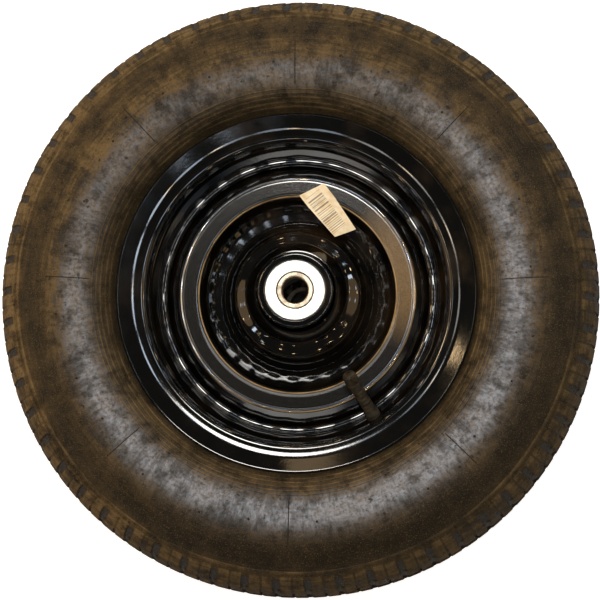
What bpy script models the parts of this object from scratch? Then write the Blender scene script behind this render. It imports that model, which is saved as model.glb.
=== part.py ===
"""Wheelbarrow wheel: a ribbed air tyre on a pressed steel wheel with a ball bearing hub.

The wheel lies flat, its axle line is Z and its valve side is up. The origin is the
centre of the wheel: the middle plane of the tyre on the axle line. Lengths are in metres.
"""

import math

import bmesh
import bpy
from mathutils import Matrix, Vector

# Fit between pieces that touch
CLEARANCE = 0.0003

# Tyre: tread
TYRE_RISE = 0.0810
CROWN_RADIUS = 0.0640
TREAD_HALF_WIDTH = 0.0330
TREAD_THICKNESS = 0.0085
CENTRE_RIB_HALF_WIDTH = 0.0060
GROOVE_WIDTH = 0.0045
GROOVE_DEPTH = 0.0034
GROOVE_DRAFT = 0.0010
NOTCH_COUNT = 58
NOTCH_SHARE = 0.42
NOTCH_DEPTH = 0.0014
NOTCH_LENGTH = 0.0112
NOTCH_RUNOUT_SHARE = 0.46

# Tyre: sidewall
TYRE_HALF_WIDTH = 0.0510
WIDEST_RISE = 0.0290
SHOULDER_LINE_DROP = 0.0157
SHOULDER_LINE_HEIGHT = 0.0385
SIDEWALL_THICKNESS = 0.0042
RIB_COUNT = 2
RIB_PITCH = 0.0050
RIB_HEIGHT = 0.0007
BEAD_WIDTH = 0.0105

# Rolled rim
RIM_SHEET = 0.0018
SEAT_RADIUS = 0.1014
LIP_RISE = 0.0176
LIP_HALF_WIDTH = 0.0385
FLANGE_RUN = 0.0120
FLANGE_RISE = 0.0043
FLANGE_KNEE_RADIUS = 0.0060
SEAT_WIDTH = 0.0100
SEAT_CORNER_RADIUS = 0.0050
WELL_DROP = 0.0114
WELL_HALF_WIDTH = 0.0100
WELL_CORNER_RADIUS = 0.0040

# Pressed discs, with radii as shares of the run from the collar out to the crown's edge
DISC_SHEET = 0.0020
DISC_WELD_GAP = 0.0010
DISC_FLANGE_LENGTH = 0.0105
CROWN_HEIGHT = 0.0250
CROWN_EDGE_GAP = 0.0099
CROWN_INNER_SHARE = 0.773
CROWN_CORNER_RADIUS = 0.0026
VALLEY_DEPTH = 0.0160
VALLEY_OUTER_SHARE = 0.714
VALLEY_INNER_SHARE = 0.438
VALLEY_ROUND_RADIUS = 0.0075
FOLD_RADIUS = 0.0045
DOME_SHARE = 0.349
DOME_HEIGHT = 0.0220
DOME_CORNER_RADIUS = 0.0080
FLARE_SHARE = 0.142
FLARE_HEIGHT = 0.0280
COLLAR_HEIGHT = 0.0390

# Hub tube
HUB_RADIUS = 0.0250
HUB_EDGE_RADIUS = 0.0020
HUB_SHOULDER = 0.0012
BEARING_STAND_OUT = 0.0004

# Ball bearings
BEARING_FACE = 0.0495
BEARING_BORE_RADIUS = 0.0085
BEARING_RADIUS = 0.0200
BEARING_WIDTH = 0.0120
BALL_CIRCLE_INSET = 0.0001
RACE_HALF_GAP = 0.00235
BEARING_EDGE = 0.0006
BALL_RADIUS = 0.003375
BALL_COUNT = 8
SHIELD_THICKNESS = 0.0006
SHIELD_RECESS = 0.0002
SHIELD_SEAT_WIDTH = 0.0008
CAGE_THICKNESS = 0.0010
CAGE_HALF_WIDTH = 0.0012
CAGE_FINGER_LENGTH = 0.0050

# Valve
VALVE_ANGLE = math.radians(302.0)
STEM_RADIUS = 0.0043
STEM_ROOT_RADIUS = 0.0054
STEM_ROOT_LENGTH = 0.0060
STEM_LENGTH = 0.0320
STEM_FOOT_RADIUS = 0.0070
STEM_FOOT_THICKNESS = 0.0020
STEM_FOOT_DEPTH = 0.0105
INSERT_LENGTH = 0.0180
INSERT_RADIUS = 0.0026
INSERT_BORE_RADIUS = 0.0017
THREAD_RADIUS = 0.0038
THREAD_LENGTH = 0.0075
CORE_LENGTH = 0.0055
CORE_BORE_RADIUS = 0.0008
CORE_RECESS = 0.0010
PIN_LENGTH = 0.0085
PIN_RADIUS = 0.0004
CAP_RADIUS = 0.0050
CAP_LENGTH = 0.0120
CAP_ROOF = 0.0022

# Inner tube
TUBE_THICKNESS = 0.0018
TUBE_SLACK = 0.0018

# Paper label
LABEL_LENGTH = 0.0370
LABEL_WIDTH = 0.0165
LABEL_THICKNESS = 0.0003
LABEL_INSET = 0.0059
LABEL_ANGLE = math.radians(68.3)
LABEL_TURN = math.radians(-52.6)
LABEL_STUCK_LENGTH = 0.0100
LABEL_DROOP = 0.0020

# Facets
WHEEL_FACETS = 26
SIDEWALL_FACETS = NOTCH_COUNT // 2
BEARING_FACETS = 18
VALVE_FACETS = 12
TUBE_FACETS = 16
ARC_STEP = math.radians(80.0)

# Places that follow from the sizes above
LIP_RADIUS = SEAT_RADIUS + LIP_RISE
WELL_RADIUS = SEAT_RADIUS - WELL_DROP
TYRE_RADIUS = LIP_RADIUS + TYRE_RISE
WIDEST_RADIUS = LIP_RADIUS + WIDEST_RISE
SHOULDER_LINE_RADIUS = TYRE_RADIUS - SHOULDER_LINE_DROP
RIM_SEAT_MID = SEAT_RADIUS - RIM_SHEET / 2
WELL_MID = WELL_RADIUS - RIM_SHEET / 2
FLANGE_HEIGHT = LIP_HALF_WIDTH - FLANGE_RISE
SEAT_END_HEIGHT = FLANGE_HEIGHT - SEAT_WIDTH
SLOPE_RUN = Vector((WELL_MID - RIM_SEAT_MID, WELL_HALF_WIDTH - SEAT_END_HEIGHT))
SLOPE_NORMAL = Vector((SLOPE_RUN.y, -SLOPE_RUN.x)).normalized()
SLOPE_MIDDLE = Vector((RIM_SEAT_MID, SEAT_END_HEIGHT)) + SLOPE_RUN / 2
DISC_FLANGE_MID = WELL_MID - RIM_SHEET / 2 - CLEARANCE - DISC_SHEET / 2
COLLAR_MID = HUB_RADIUS + CLEARANCE + DISC_SHEET / 2
CROWN_OUTER_RADIUS = DISC_FLANGE_MID - CROWN_EDGE_GAP
DISC_RUN = CROWN_OUTER_RADIUS - COLLAR_MID
CROWN_INNER_RADIUS = COLLAR_MID + DISC_RUN * CROWN_INNER_SHARE
LABEL_RADIUS = CROWN_INNER_RADIUS - LABEL_INSET
BALL_CIRCLE_RADIUS = (BEARING_BORE_RADIUS + BEARING_RADIUS) / 2 - BALL_CIRCLE_INSET
INNER_RACE_RADIUS = BALL_CIRCLE_RADIUS - RACE_HALF_GAP
OUTER_RACE_RADIUS = BALL_CIRCLE_RADIUS + RACE_HALF_GAP
SHIELD_RADIUS = OUTER_RACE_RADIUS + SHIELD_SEAT_WIDTH - CLEARANCE
HUB_HALF_LENGTH = BEARING_FACE - BEARING_STAND_OUT


def paint(name, colour, metallic, roughness):
    """One finish."""
    material = bpy.data.materials.new(name)
    material.use_nodes = True
    shader = material.node_tree.nodes["Principled BSDF"]
    shader.inputs["Base Color"].default_value = (*colour, 1.0)
    shader.inputs["Metallic"].default_value = metallic
    shader.inputs["Roughness"].default_value = roughness
    material.diffuse_color = (*colour, 1.0)
    return material


def finish(name, bm, material, crease=math.radians(32.0)):
    """Turn a bmesh into a named object, faces out, round stretches smooth."""
    bmesh.ops.recalc_face_normals(bm, faces=bm.faces[:])
    mesh = bpy.data.meshes.new(name)
    bm.to_mesh(mesh)
    bm.free()
    mesh.shade_smooth()
    mesh.set_sharp_from_angle(angle=crease)
    mesh.materials.append(material)
    thing = bpy.data.objects.new(name, mesh)
    bpy.context.scene.collection.objects.link(thing)
    return thing


def rounded(corners, step=ARC_STEP):
    """Path through corners of (radius, height, fillet), with each fillet as an arc.

    A fillet is limited to what the runs beside its corner leave for it.
    """
    spots = [Vector((corner[0], corner[1])) for corner in corners]
    path = [spots[0]]
    for index in range(1, len(corners) - 1):
        here = spots[index]
        back = spots[index - 1] - here
        ahead = spots[index + 1] - here
        opening = back.angle(ahead)
        reach = corners[index][2] / math.tan(opening / 2)
        reach = min(reach, 0.48 * back.length, 0.48 * ahead.length)
        fillet = reach * math.tan(opening / 2)
        middle = (back.normalized() + ahead.normalized()).normalized()
        centre = here + middle * (fillet / math.sin(opening / 2))
        start = here + back.normalized() * reach - centre
        end = here + ahead.normalized() * reach - centre
        sweep = math.atan2(start.cross(end), start.dot(end))
        count = max(1, math.ceil(abs(sweep) / step))
        for part in range(count + 1):
            turned = sweep * part / count
            across = Vector((-start.y, start.x))
            path.append(centre + start * math.cos(turned) + across * math.sin(turned))
    path.append(spots[-1])
    return path


def sheet(path, thickness):
    """Closed outline of a bent sheet whose middle line is the path."""
    left = []
    right = []
    for index, spot in enumerate(path):
        before = (spot - path[index - 1]).normalized() if index else None
        after = (path[index + 1] - spot).normalized() if index + 1 < len(path) else None
        before = before or after
        after = after or before
        along = (before + after).normalized()
        across = Vector((-along.y, along.x))
        reach = thickness / 2 / max(0.5, along.dot(after))
        left.append(spot + across * reach)
        right.append(spot - across * reach)
    return left + right[::-1]


def turn(outline, facets, start=0.0):
    """Revolve a closed outline of (radius, height) about Z."""
    bm = bmesh.new()
    first = Matrix.Rotation(start, 3, "Z")
    corners = [bm.verts.new(first @ Vector((spot[0], 0.0, spot[1]))) for spot in outline]
    for index, corner in enumerate(corners):
        bm.edges.new((corners[index - 1], corner))
    bmesh.ops.spin(bm, geom=bm.verts[:] + bm.edges[:], cent=(0, 0, 0), axis=(0, 0, 1),
                   angle=2 * math.pi, steps=facets, use_merge=True)
    bmesh.ops.remove_doubles(bm, verts=bm.verts[:], dist=1e-7)
    return bm


def turn_solid(outline, facets):
    """Revolve an outline that starts and ends on the axis into a solid of revolution."""
    bm = bmesh.new()
    corners = [bm.verts.new(Vector((spot[0], 0.0, spot[1]))) for spot in outline]
    for first, second in zip(corners, corners[1:]):
        bm.edges.new((first, second))
    bmesh.ops.spin(bm, geom=bm.verts[:] + bm.edges[:], cent=(0, 0, 0), axis=(0, 0, 1),
                   angle=2 * math.pi, steps=facets, use_merge=True)
    bmesh.ops.remove_doubles(bm, verts=bm.verts[:], dist=1e-7)
    bmesh.ops.dissolve_degenerate(bm, dist=1e-7, edges=bm.edges[:])
    return bm


def mirrored(outline):
    """The same outline on the other side of the wheel's middle plane."""
    return [Vector((spot[0], -spot[1])) for spot in outline]


def cut(thing, cutter):
    """Take the cutter's shape out of the thing, and keep the cutter as a guide."""
    cutter.hide_render = True
    cutter.display_type = "WIRE"
    hole = thing.modifiers.new("hole", "BOOLEAN")
    hole.operation = "DIFFERENCE"
    hole.solver = "EXACT"
    hole.object = cutter


def crown_at(height):
    """Radius of the tread's crown at a height from the middle plane."""
    return TYRE_RADIUS - CROWN_RADIUS + math.sqrt(CROWN_RADIUS ** 2 - height ** 2)


def tread_rows():
    """Tread section from the centre rib to the rib beside the shoulder notches."""
    groove_start = CENTRE_RIB_HALF_WIDTH
    groove_end = CENTRE_RIB_HALF_WIDTH + GROOVE_WIDTH
    return [
        (crown_at(groove_start), groove_start),
        (crown_at(groove_start) - GROOVE_DEPTH, groove_start + GROOVE_DRAFT),
        (crown_at(groove_end) - GROOVE_DEPTH, groove_end - GROOVE_DRAFT),
        (crown_at(groove_end), groove_end),
    ]


def sidewall_rows():
    """Outside of the sidewall, from the shoulder line over the bulge and fine ribs to the rim."""
    drop = SHOULDER_LINE_RADIUS - WIDEST_RADIUS
    slack = TYRE_HALF_WIDTH - SHOULDER_LINE_HEIGHT
    rows = [(SHOULDER_LINE_RADIUS, SHOULDER_LINE_HEIGHT)]
    for share in (0.62, 0.0):
        height = TYRE_HALF_WIDTH - slack * share ** 2.2
        rows.append((WIDEST_RADIUS + drop * share, height))
    lip = lip_clearance_row()
    rib_top = lip[0] + RIB_PITCH * (RIB_COUNT + 0.5)
    for step in range(2 * RIB_COUNT + 1):
        radius = rib_top - RIB_PITCH * step / 2
        share = (WIDEST_RADIUS - radius) / (WIDEST_RADIUS - lip[0])
        height = TYRE_HALF_WIDTH - (TYRE_HALF_WIDTH - lip[1]) * share ** 2.4
        rows.append((radius, height + RIB_HEIGHT * (step % 2)))
    return rows


def clear_of_rim(radius):
    """Radius at which the flats of the tyre's facets still clear a rim of this radius."""
    return (radius + CLEARANCE) / math.cos(math.pi / SIDEWALL_FACETS)


def lip_clearance_row():
    """Where the sidewall reaches the rim's lip."""
    return clear_of_rim(LIP_RADIUS + RIM_SHEET / 2), LIP_HALF_WIDTH - RIM_SHEET / 2


def bead_rows():
    """Bead from the lip along the flange to the toe on the rim's seat."""
    seat = clear_of_rim(SEAT_RADIUS)
    flange = FLANGE_HEIGHT - RIM_SHEET / 2 - CLEARANCE
    heel = SEAT_CORNER_RADIUS
    return [
        lip_clearance_row(),
        (clear_of_rim(LIP_RADIUS - FLANGE_RUN), flange - CLEARANCE),
        (seat + heel, flange),
        (seat, flange - heel),
        (seat, flange - BEAD_WIDTH),
    ]


def inside_rows():
    """Inside of the tyre from the bead's toe to the middle plane."""
    belly = TYRE_HALF_WIDTH - SIDEWALL_THICKNESS
    toe = bead_rows()[-1]
    roof = TYRE_RADIUS - TREAD_THICKNESS
    lip = lip_clearance_row()
    return [
        (toe[0] + SIDEWALL_THICKNESS, toe[1] - SIDEWALL_THICKNESS / 2),
        (lip[0] + SIDEWALL_THICKNESS / 2, lip[1] - 1.5 * SIDEWALL_THICKNESS),
        (WIDEST_RADIUS, belly),
        (SHOULDER_LINE_RADIUS - 2 * SIDEWALL_THICKNESS, SHOULDER_LINE_HEIGHT - SIDEWALL_THICKNESS / 2),
        (roof, 0.25 * TREAD_HALF_WIDTH),
    ]


def ring(bm, radius, height, angles):
    """Ring of vertices at the given angles."""
    return [bm.verts.new((radius * math.cos(a), radius * math.sin(a), height)) for a in angles]


def join(bm, first, second):
    """Band of faces between two rings with the same number of vertices."""
    for index in range(len(first)):
        bm.faces.new((first[index - 1], first[index], second[index], second[index - 1]))


def join_to_half(bm, fine, coarse):
    """Band from a ring to one with half as many vertices."""
    for index, corner in enumerate(coarse):
        middle = fine[2 * index]
        before = fine[2 * index - 1]
        back = fine[2 * index - 2]
        bm.faces.new((before, middle, corner))
        bm.faces.new((back, before, corner, coarse[index - 1]))


def join_to_notches(bm, plain, notches):
    """Band from a ring with one vertex a lug to a ring with one pair a notch."""
    for index, (start, end) in enumerate(notches):
        bm.faces.new((notches[index - 1][1], start, plain[index]))
        bm.faces.new((start, end, plain[(index + 1) % len(plain)], plain[index]))


def notched_shoulder(bm, side, notch_edges):
    """Shoulder lugs and the notches that run out between them.

    Returns the ring at the inner end and the ring at the run-out, as pairs of vertices.
    """
    inner = TREAD_HALF_WIDTH - NOTCH_LENGTH
    floor = crown_at(inner) - NOTCH_DEPTH
    edge = Vector((crown_at(TREAD_HALF_WIDTH), TREAD_HALF_WIDTH))
    below = edge.lerp(Vector((SHOULDER_LINE_RADIUS, SHOULDER_LINE_HEIGHT)), NOTCH_RUNOUT_SHARE)
    top = []
    rim = []
    runout = []
    for angles in notch_edges:
        top.append(ring(bm, crown_at(inner), side * inner, angles))
        rim.append(ring(bm, edge.x, side * edge.y, angles))
        runout.append(ring(bm, below.x, side * below.y, angles))
        low = ring(bm, floor, side * (inner + GROOVE_DRAFT / 2), angles)
        bm.faces.new((top[-1][0], top[-1][1], low[1], low[0]))
        bm.faces.new((low[0], low[1], runout[-1][1], runout[-1][0]))
        bm.faces.new((top[-1][0], low[0], runout[-1][0], rim[-1][0]))
        bm.faces.new((top[-1][1], rim[-1][1], runout[-1][1], low[1]))
    for first, second in ((top, rim), (rim, runout)):
        for index in range(len(notch_edges)):
            bm.faces.new((first[index - 1][1], first[index][0], second[index][0], second[index - 1][1]))
    return top, runout


def build_tyre(rubber):
    """Tyre: grooved crown, notched shoulders, bulged sidewalls with fine ribs, two beads."""
    bm = bmesh.new()
    pitch = 2 * math.pi / NOTCH_COUNT
    lugs = [pitch * index for index in range(NOTCH_COUNT)]
    reach = pitch * NOTCH_SHARE / 2
    notch_edges = [(lug + pitch / 2 - reach, lug + pitch / 2 + reach) for lug in lugs]
    ribs = []
    roofs = []
    for side in (1, -1):
        rows = [ring(bm, radius, side * height, lugs) for radius, height in tread_rows()]
        for first, second in zip(rows, rows[1:]):
            join(bm, first, second)
        top, runout = notched_shoulder(bm, side, notch_edges)
        join_to_notches(bm, rows[-1], top)
        line, *outside = sidewall_rows() + bead_rows() + inside_rows()
        shoulder = ring(bm, line[0], side * line[1], lugs)
        walls = [ring(bm, radius, side * height, lugs[::2]) for radius, height in outside]
        join_to_notches(bm, shoulder, runout)
        join_to_half(bm, shoulder, walls[0])
        for first, second in zip(walls, walls[1:]):
            join(bm, first, second)
        ribs.append(rows[0])
        roofs.append(walls[-1])
    join(bm, ribs[0], ribs[1])
    join(bm, roofs[0], roofs[1])
    return finish("tyre", bm, rubber)


def rim_path():
    """Middle line of the rolled rim from one lip to the other."""
    half = [
        (LIP_RADIUS, LIP_HALF_WIDTH, 0.0),
        (LIP_RADIUS - FLANGE_RUN, FLANGE_HEIGHT, FLANGE_KNEE_RADIUS),
        (RIM_SEAT_MID, FLANGE_HEIGHT, SEAT_CORNER_RADIUS),
        (RIM_SEAT_MID, SEAT_END_HEIGHT, WELL_CORNER_RADIUS),
        (WELL_MID, WELL_HALF_WIDTH, WELL_CORNER_RADIUS),
    ]
    other = [(radius, -height, fillet) for radius, height, fillet in reversed(half)]
    return rounded(half + other)


def valve_frame():
    """Empty on the valve's axis: its origin in the rim's slope, its Z out of the wheel."""
    spin = Matrix.Rotation(VALVE_ANGLE, 3, "Z")
    out = spin @ Vector((-abs(SLOPE_NORMAL.x), 0.0, abs(SLOPE_NORMAL.y)))
    frame = bpy.data.objects.new("valve_axis", None)
    frame.location = spin @ Vector((SLOPE_MIDDLE.x, 0.0, SLOPE_MIDDLE.y))
    frame.rotation_mode = "QUATERNION"
    frame.rotation_quaternion = out.to_track_quat("Z", "Y")
    bpy.context.scene.collection.objects.link(frame)
    return frame


def hole_cutter(name, radius, low, high, frame):
    """Round cutter on the valve's axis between two heights."""
    outline = [(0.0, low), (radius, low), (radius, high), (0.0, high)]
    cutter = finish(name, turn_solid(outline, VALVE_FACETS), bpy.data.materials["guide"])
    cutter.parent = frame
    return cutter


def build_rim(black, frame):
    """Rolled rim: lips, flanges, bead seats, slopes and well, with the valve's hole."""
    rim = finish("rim_barrel", turn(sheet(rim_path(), RIM_SHEET), WHEEL_FACETS), black)
    reach = 2.5 * RIM_SHEET
    cut(rim, hole_cutter("valve_hole", STEM_ROOT_RADIUS + CLEARANCE, -reach, reach, frame))
    return rim


def disc_path():
    """Middle line of a pressed disc from its weld flange to its collar on the hub."""
    crown = CROWN_HEIGHT - DISC_SHEET / 2
    valley = crown - VALLEY_DEPTH
    return rounded([
        (DISC_FLANGE_MID, DISC_WELD_GAP, 0.0),
        (DISC_FLANGE_MID, DISC_WELD_GAP + DISC_FLANGE_LENGTH, FOLD_RADIUS),
        (CROWN_OUTER_RADIUS, crown, CROWN_CORNER_RADIUS),
        (CROWN_INNER_RADIUS, crown, CROWN_CORNER_RADIUS),
        (COLLAR_MID + DISC_RUN * VALLEY_OUTER_SHARE, valley, VALLEY_ROUND_RADIUS),
        (COLLAR_MID + DISC_RUN * VALLEY_INNER_SHARE, valley, VALLEY_ROUND_RADIUS),
        (COLLAR_MID + DISC_RUN * DOME_SHARE, DOME_HEIGHT, DOME_CORNER_RADIUS),
        (COLLAR_MID + DISC_RUN * FLARE_SHARE, FLARE_HEIGHT, FOLD_RADIUS),
        (COLLAR_MID, COLLAR_HEIGHT, 0.0),
    ])


def build_discs(black):
    """The two pressed discs, one mirrored from the other."""
    outline = sheet(disc_path(), DISC_SHEET)
    finish("front_disc", turn(outline, WHEEL_FACETS), black)
    finish("rear_disc", turn(mirrored(outline), WHEEL_FACETS), black)


def build_hub_tube(black):
    """Hub tube with a bearing seat and a rounded edge at each end."""
    seat = BEARING_RADIUS + CLEARANCE
    stop = BEARING_FACE - BEARING_WIDTH - CLEARANCE
    half = [
        (seat - HUB_SHOULDER, stop, 0.0),
        (seat, stop, 0.0),
        (seat, HUB_HALF_LENGTH, 0.0),
        (HUB_RADIUS, HUB_HALF_LENGTH, HUB_EDGE_RADIUS),
        (HUB_RADIUS, 0.0, 0.0),
    ]
    outer = rounded(half[2:])[:-1]
    top = [Vector(half[0][:2]), Vector(half[1][:2])] + outer
    outline = top + mirrored(top)[::-1]
    finish("hub_tube", turn(outline, BEARING_FACETS), black)


def race_groove(side):
    """Arc of a race that hugs the balls, from one edge of the groove to the other.

    The side is 1 for the outer race and -1 for the inner race.
    """
    groove = BALL_RADIUS + CLEARANCE
    land = OUTER_RACE_RADIUS if side > 0 else INNER_RACE_RADIUS
    half = math.acos(min(1.0, abs(land - BALL_CIRCLE_RADIUS) / groove))
    angles = (half, 0.0, -half)
    return [Vector((BALL_CIRCLE_RADIUS + side * groove * math.cos(a), groove * math.sin(a)))
            for a in angles]


def inner_ring_outline():
    """Section of the inner ring about its own middle."""
    half = BEARING_WIDTH / 2
    bore = BEARING_BORE_RADIUS
    return [
        Vector((bore + BEARING_EDGE, half)),
        Vector((INNER_RACE_RADIUS, half)),
        *race_groove(-1),
        Vector((INNER_RACE_RADIUS, -half)),
        Vector((bore + BEARING_EDGE, -half)),
        Vector((bore, BEARING_EDGE - half)),
        Vector((bore, half - BEARING_EDGE)),
    ]


def outer_ring_outline():
    """Section of the outer ring about its own middle, with the shield's seat on the +Z side."""
    half = BEARING_WIDTH / 2
    step = half - SHIELD_RECESS - SHIELD_THICKNESS - CLEARANCE
    seat = OUTER_RACE_RADIUS + SHIELD_SEAT_WIDTH
    return [
        Vector((BEARING_RADIUS, half)),
        Vector((seat, half)),
        Vector((seat, step)),
        Vector((OUTER_RACE_RADIUS, step)),
        *race_groove(1),
        Vector((OUTER_RACE_RADIUS, -half)),
        Vector((BEARING_RADIUS, -half)),
    ]


def shield_outline():
    """Section of a shield about the bearing's middle, on the +Z side."""
    top = BEARING_WIDTH / 2 - SHIELD_RECESS
    low = top - SHIELD_THICKNESS
    hole = INNER_RACE_RADIUS + CLEARANCE
    return [(hole, low), (SHIELD_RADIUS, low), (SHIELD_RADIUS, top), (hole, top)]


def cage_bmesh():
    """Crown cage: a ring beside the balls with one finger between each two balls."""
    low = BALL_RADIUS + CLEARANCE
    inner = BALL_CIRCLE_RADIUS - CAGE_HALF_WIDTH
    outer = BALL_CIRCLE_RADIUS + CAGE_HALF_WIDTH
    outline = [(inner, low), (outer, low), (outer, low + CAGE_THICKNESS), (inner, low + CAGE_THICKNESS)]
    facets = 3 * BALL_COUNT
    bm = turn(outline, facets, start=math.pi / facets)
    bmesh.ops.recalc_face_normals(bm, faces=bm.faces[:])
    bm.faces.ensure_lookup_table()
    step = 2 * math.pi / BALL_COUNT
    roots = []
    for face in bm.faces:
        middle = face.calc_center_median()
        angle = math.atan2(middle.y, middle.x)
        between = abs(angle / step - round(angle / step)) < 0.1
        if face.normal.z < -0.9 and between:
            roots.append(face)
    fingers = bmesh.ops.extrude_discrete_faces(bm, faces=roots)["faces"]
    tips = {corner for face in fingers for corner in face.verts}
    bmesh.ops.translate(bm, verts=list(tips), vec=(0, 0, -CAGE_FINGER_LENGTH))
    return bm


def build_bearing(end, height, side, steel, bright):
    """One ball bearing: rings, shield, cage and balls, the shield facing out of the hub."""
    outer = finish(end + "_outer_ring", turn(outer_ring_outline(), BEARING_FACETS), steel)
    inner = finish(end + "_inner_ring", turn(inner_ring_outline(), BEARING_FACETS), steel)
    shield = finish(end + "_shield", turn(shield_outline(), BEARING_FACETS), bright)
    cage = finish(end + "_ball_cage", cage_bmesh(), steel)
    for piece in (outer, inner, shield, cage):
        piece.location.z = height
        if side < 0:
            piece.rotation_euler.x = math.pi
    for index in range(BALL_COUNT):
        angle = 2 * math.pi * (index + 0.5) / BALL_COUNT
        bm = bmesh.new()
        bmesh.ops.create_uvsphere(bm, u_segments=6, v_segments=4, radius=BALL_RADIUS)
        ball = finish("%s_ball_%d" % (end, index + 1), bm, bright, crease=math.pi)
        ball.location = (BALL_CIRCLE_RADIUS * math.cos(angle), BALL_CIRCLE_RADIUS * math.sin(angle), height)


def build_valve(frame, rubber, brass, plastic):
    """Rubber stem with its brass insert, core and pin, and the cap over them."""
    root = STEM_ROOT_RADIUS
    foot = -STEM_FOOT_DEPTH
    bore = INSERT_RADIUS + CLEARANCE
    floor = STEM_LENGTH - INSERT_LENGTH
    air = INSERT_BORE_RADIUS
    stem = [
        (air, foot - STEM_FOOT_THICKNESS), (STEM_FOOT_RADIUS, foot - STEM_FOOT_THICKNESS),
        (STEM_FOOT_RADIUS, foot), (root, foot), (root, STEM_ROOT_LENGTH / 2),
        (STEM_RADIUS, STEM_ROOT_LENGTH), (STEM_RADIUS, STEM_LENGTH),
        (bore, STEM_LENGTH), (bore, floor), (air, floor),
    ]
    top = STEM_LENGTH + CLEARANCE + THREAD_LENGTH
    insert = [
        (air, floor + CLEARANCE), (INSERT_RADIUS, floor + CLEARANCE),
        (INSERT_RADIUS, STEM_LENGTH + CLEARANCE), (THREAD_RADIUS, STEM_LENGTH + CLEARANCE),
        (THREAD_RADIUS, top), (air, top),
    ]
    core_top = top - CORE_RECESS
    plug = INSERT_BORE_RADIUS - CLEARANCE
    core = [
        (CORE_BORE_RADIUS, core_top - CORE_LENGTH), (plug, core_top - CORE_LENGTH),
        (plug, core_top), (CORE_BORE_RADIUS, core_top),
    ]
    pin = [(0.0, top - PIN_LENGTH), (PIN_RADIUS, top - PIN_LENGTH), (PIN_RADIUS, top), (0.0, top)]
    skirt = STEM_LENGTH + CLEARANCE
    cap_top = skirt + CAP_LENGTH
    cap = [
        (0.0, cap_top), (CAP_RADIUS - CAP_ROOF / 2, cap_top), (CAP_RADIUS, cap_top - CAP_ROOF),
        (CAP_RADIUS, skirt), (THREAD_RADIUS + CLEARANCE, skirt),
        (THREAD_RADIUS + CLEARANCE, top + CLEARANCE), (0.0, top + CLEARANCE),
    ]
    pieces = [
        finish("valve_stem", turn(stem, VALVE_FACETS), rubber),
        finish("valve_insert", turn(insert, VALVE_FACETS), brass),
        finish("valve_core", turn(core, VALVE_FACETS), brass),
        finish("valve_pin", turn_solid(pin, VALVE_FACETS // 2), brass),
        finish("valve_cap", turn_solid(cap, VALVE_FACETS), plastic),
    ]
    for piece in pieces:
        piece.parent = frame


def drawn_in(outline, distance):
    """Closed outline, counter-clockwise, with every side moved in by the distance."""
    moved = []
    for index, spot in enumerate(outline):
        before = (spot - outline[index - 1]).normalized()
        after = (outline[(index + 1) % len(outline)] - spot).normalized()
        along = (before + after).normalized()
        across = Vector((-along.y, along.x))
        moved.append(spot + across * distance / along.dot(after))
    return moved


def tube_floor_radius():
    """Radius of the tube's inner side, whose flats the stem's foot reaches with its lower edge."""
    foot = STEM_FOOT_DEPTH + STEM_FOOT_THICKNESS
    slant = foot * abs(SLOPE_NORMAL.x) + STEM_FOOT_RADIUS * abs(SLOPE_NORMAL.y)
    return (SLOPE_MIDDLE.x + slant + CLEARANCE) / math.cos(math.pi / TUBE_FACETS)


def tube_outline():
    """Section of the inner tube, which follows the inside of the tyre down to the stem's foot."""
    floor = tube_floor_radius() - TUBE_SLACK
    low, wide, high, roof = [Vector(row) for row in inside_rows()[1:]]
    half = [Vector((floor, low.y / 2)), low, wide, high, roof]
    return drawn_in(mirrored(half) + half[::-1], TUBE_SLACK)


def build_inner_tube(rubber, frame):
    """Hollow inner tube, open where the valve stem's air passage enters it."""
    outline = tube_outline()
    tube = finish("inner_tube", turn(outline, TUBE_FACETS), rubber)
    hollow = finish("tube_hollow", turn(drawn_in(outline, TUBE_THICKNESS), TUBE_FACETS), rubber)
    cut(tube, hollow)
    deep = STEM_FOOT_DEPTH + STEM_FOOT_THICKNESS
    reach = (tube_floor_radius() + 3 * TUBE_THICKNESS - SLOPE_MIDDLE.x) / abs(SLOPE_NORMAL.x)
    cut(tube, hole_cutter("air_hole", INSERT_BORE_RADIUS, -reach, -deep, frame))


def build_label(paper):
    """Paper label stuck by one end to the disc's crown, the other end free over the valley."""
    count = 5
    start = -LABEL_LENGTH / 2
    free = LABEL_LENGTH - LABEL_STUCK_LENGTH
    path = [Vector((start, 0.0))]
    for index in range(count):
        share = index / (count - 1)
        path.append(Vector((start + LABEL_STUCK_LENGTH + free * share, -LABEL_DROOP * share ** 2)))
    outline = sheet(path, LABEL_THICKNESS)
    bm = bmesh.new()
    edge = [bm.verts.new((spot.x, -LABEL_WIDTH / 2, spot.y)) for spot in outline]
    face = bm.faces.new(edge)
    swept = bmesh.ops.extrude_face_region(bm, geom=[face])["geom"]
    moved = [item for item in swept if isinstance(item, bmesh.types.BMVert)]
    bmesh.ops.translate(bm, verts=moved, vec=(0, LABEL_WIDTH, 0))
    label = finish("paper_label", bm, paper)
    height = CROWN_HEIGHT + CLEARANCE + LABEL_THICKNESS / 2
    label.location = (LABEL_RADIUS * math.cos(LABEL_ANGLE), LABEL_RADIUS * math.sin(LABEL_ANGLE), height)
    label.rotation_euler.z = LABEL_TURN


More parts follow.
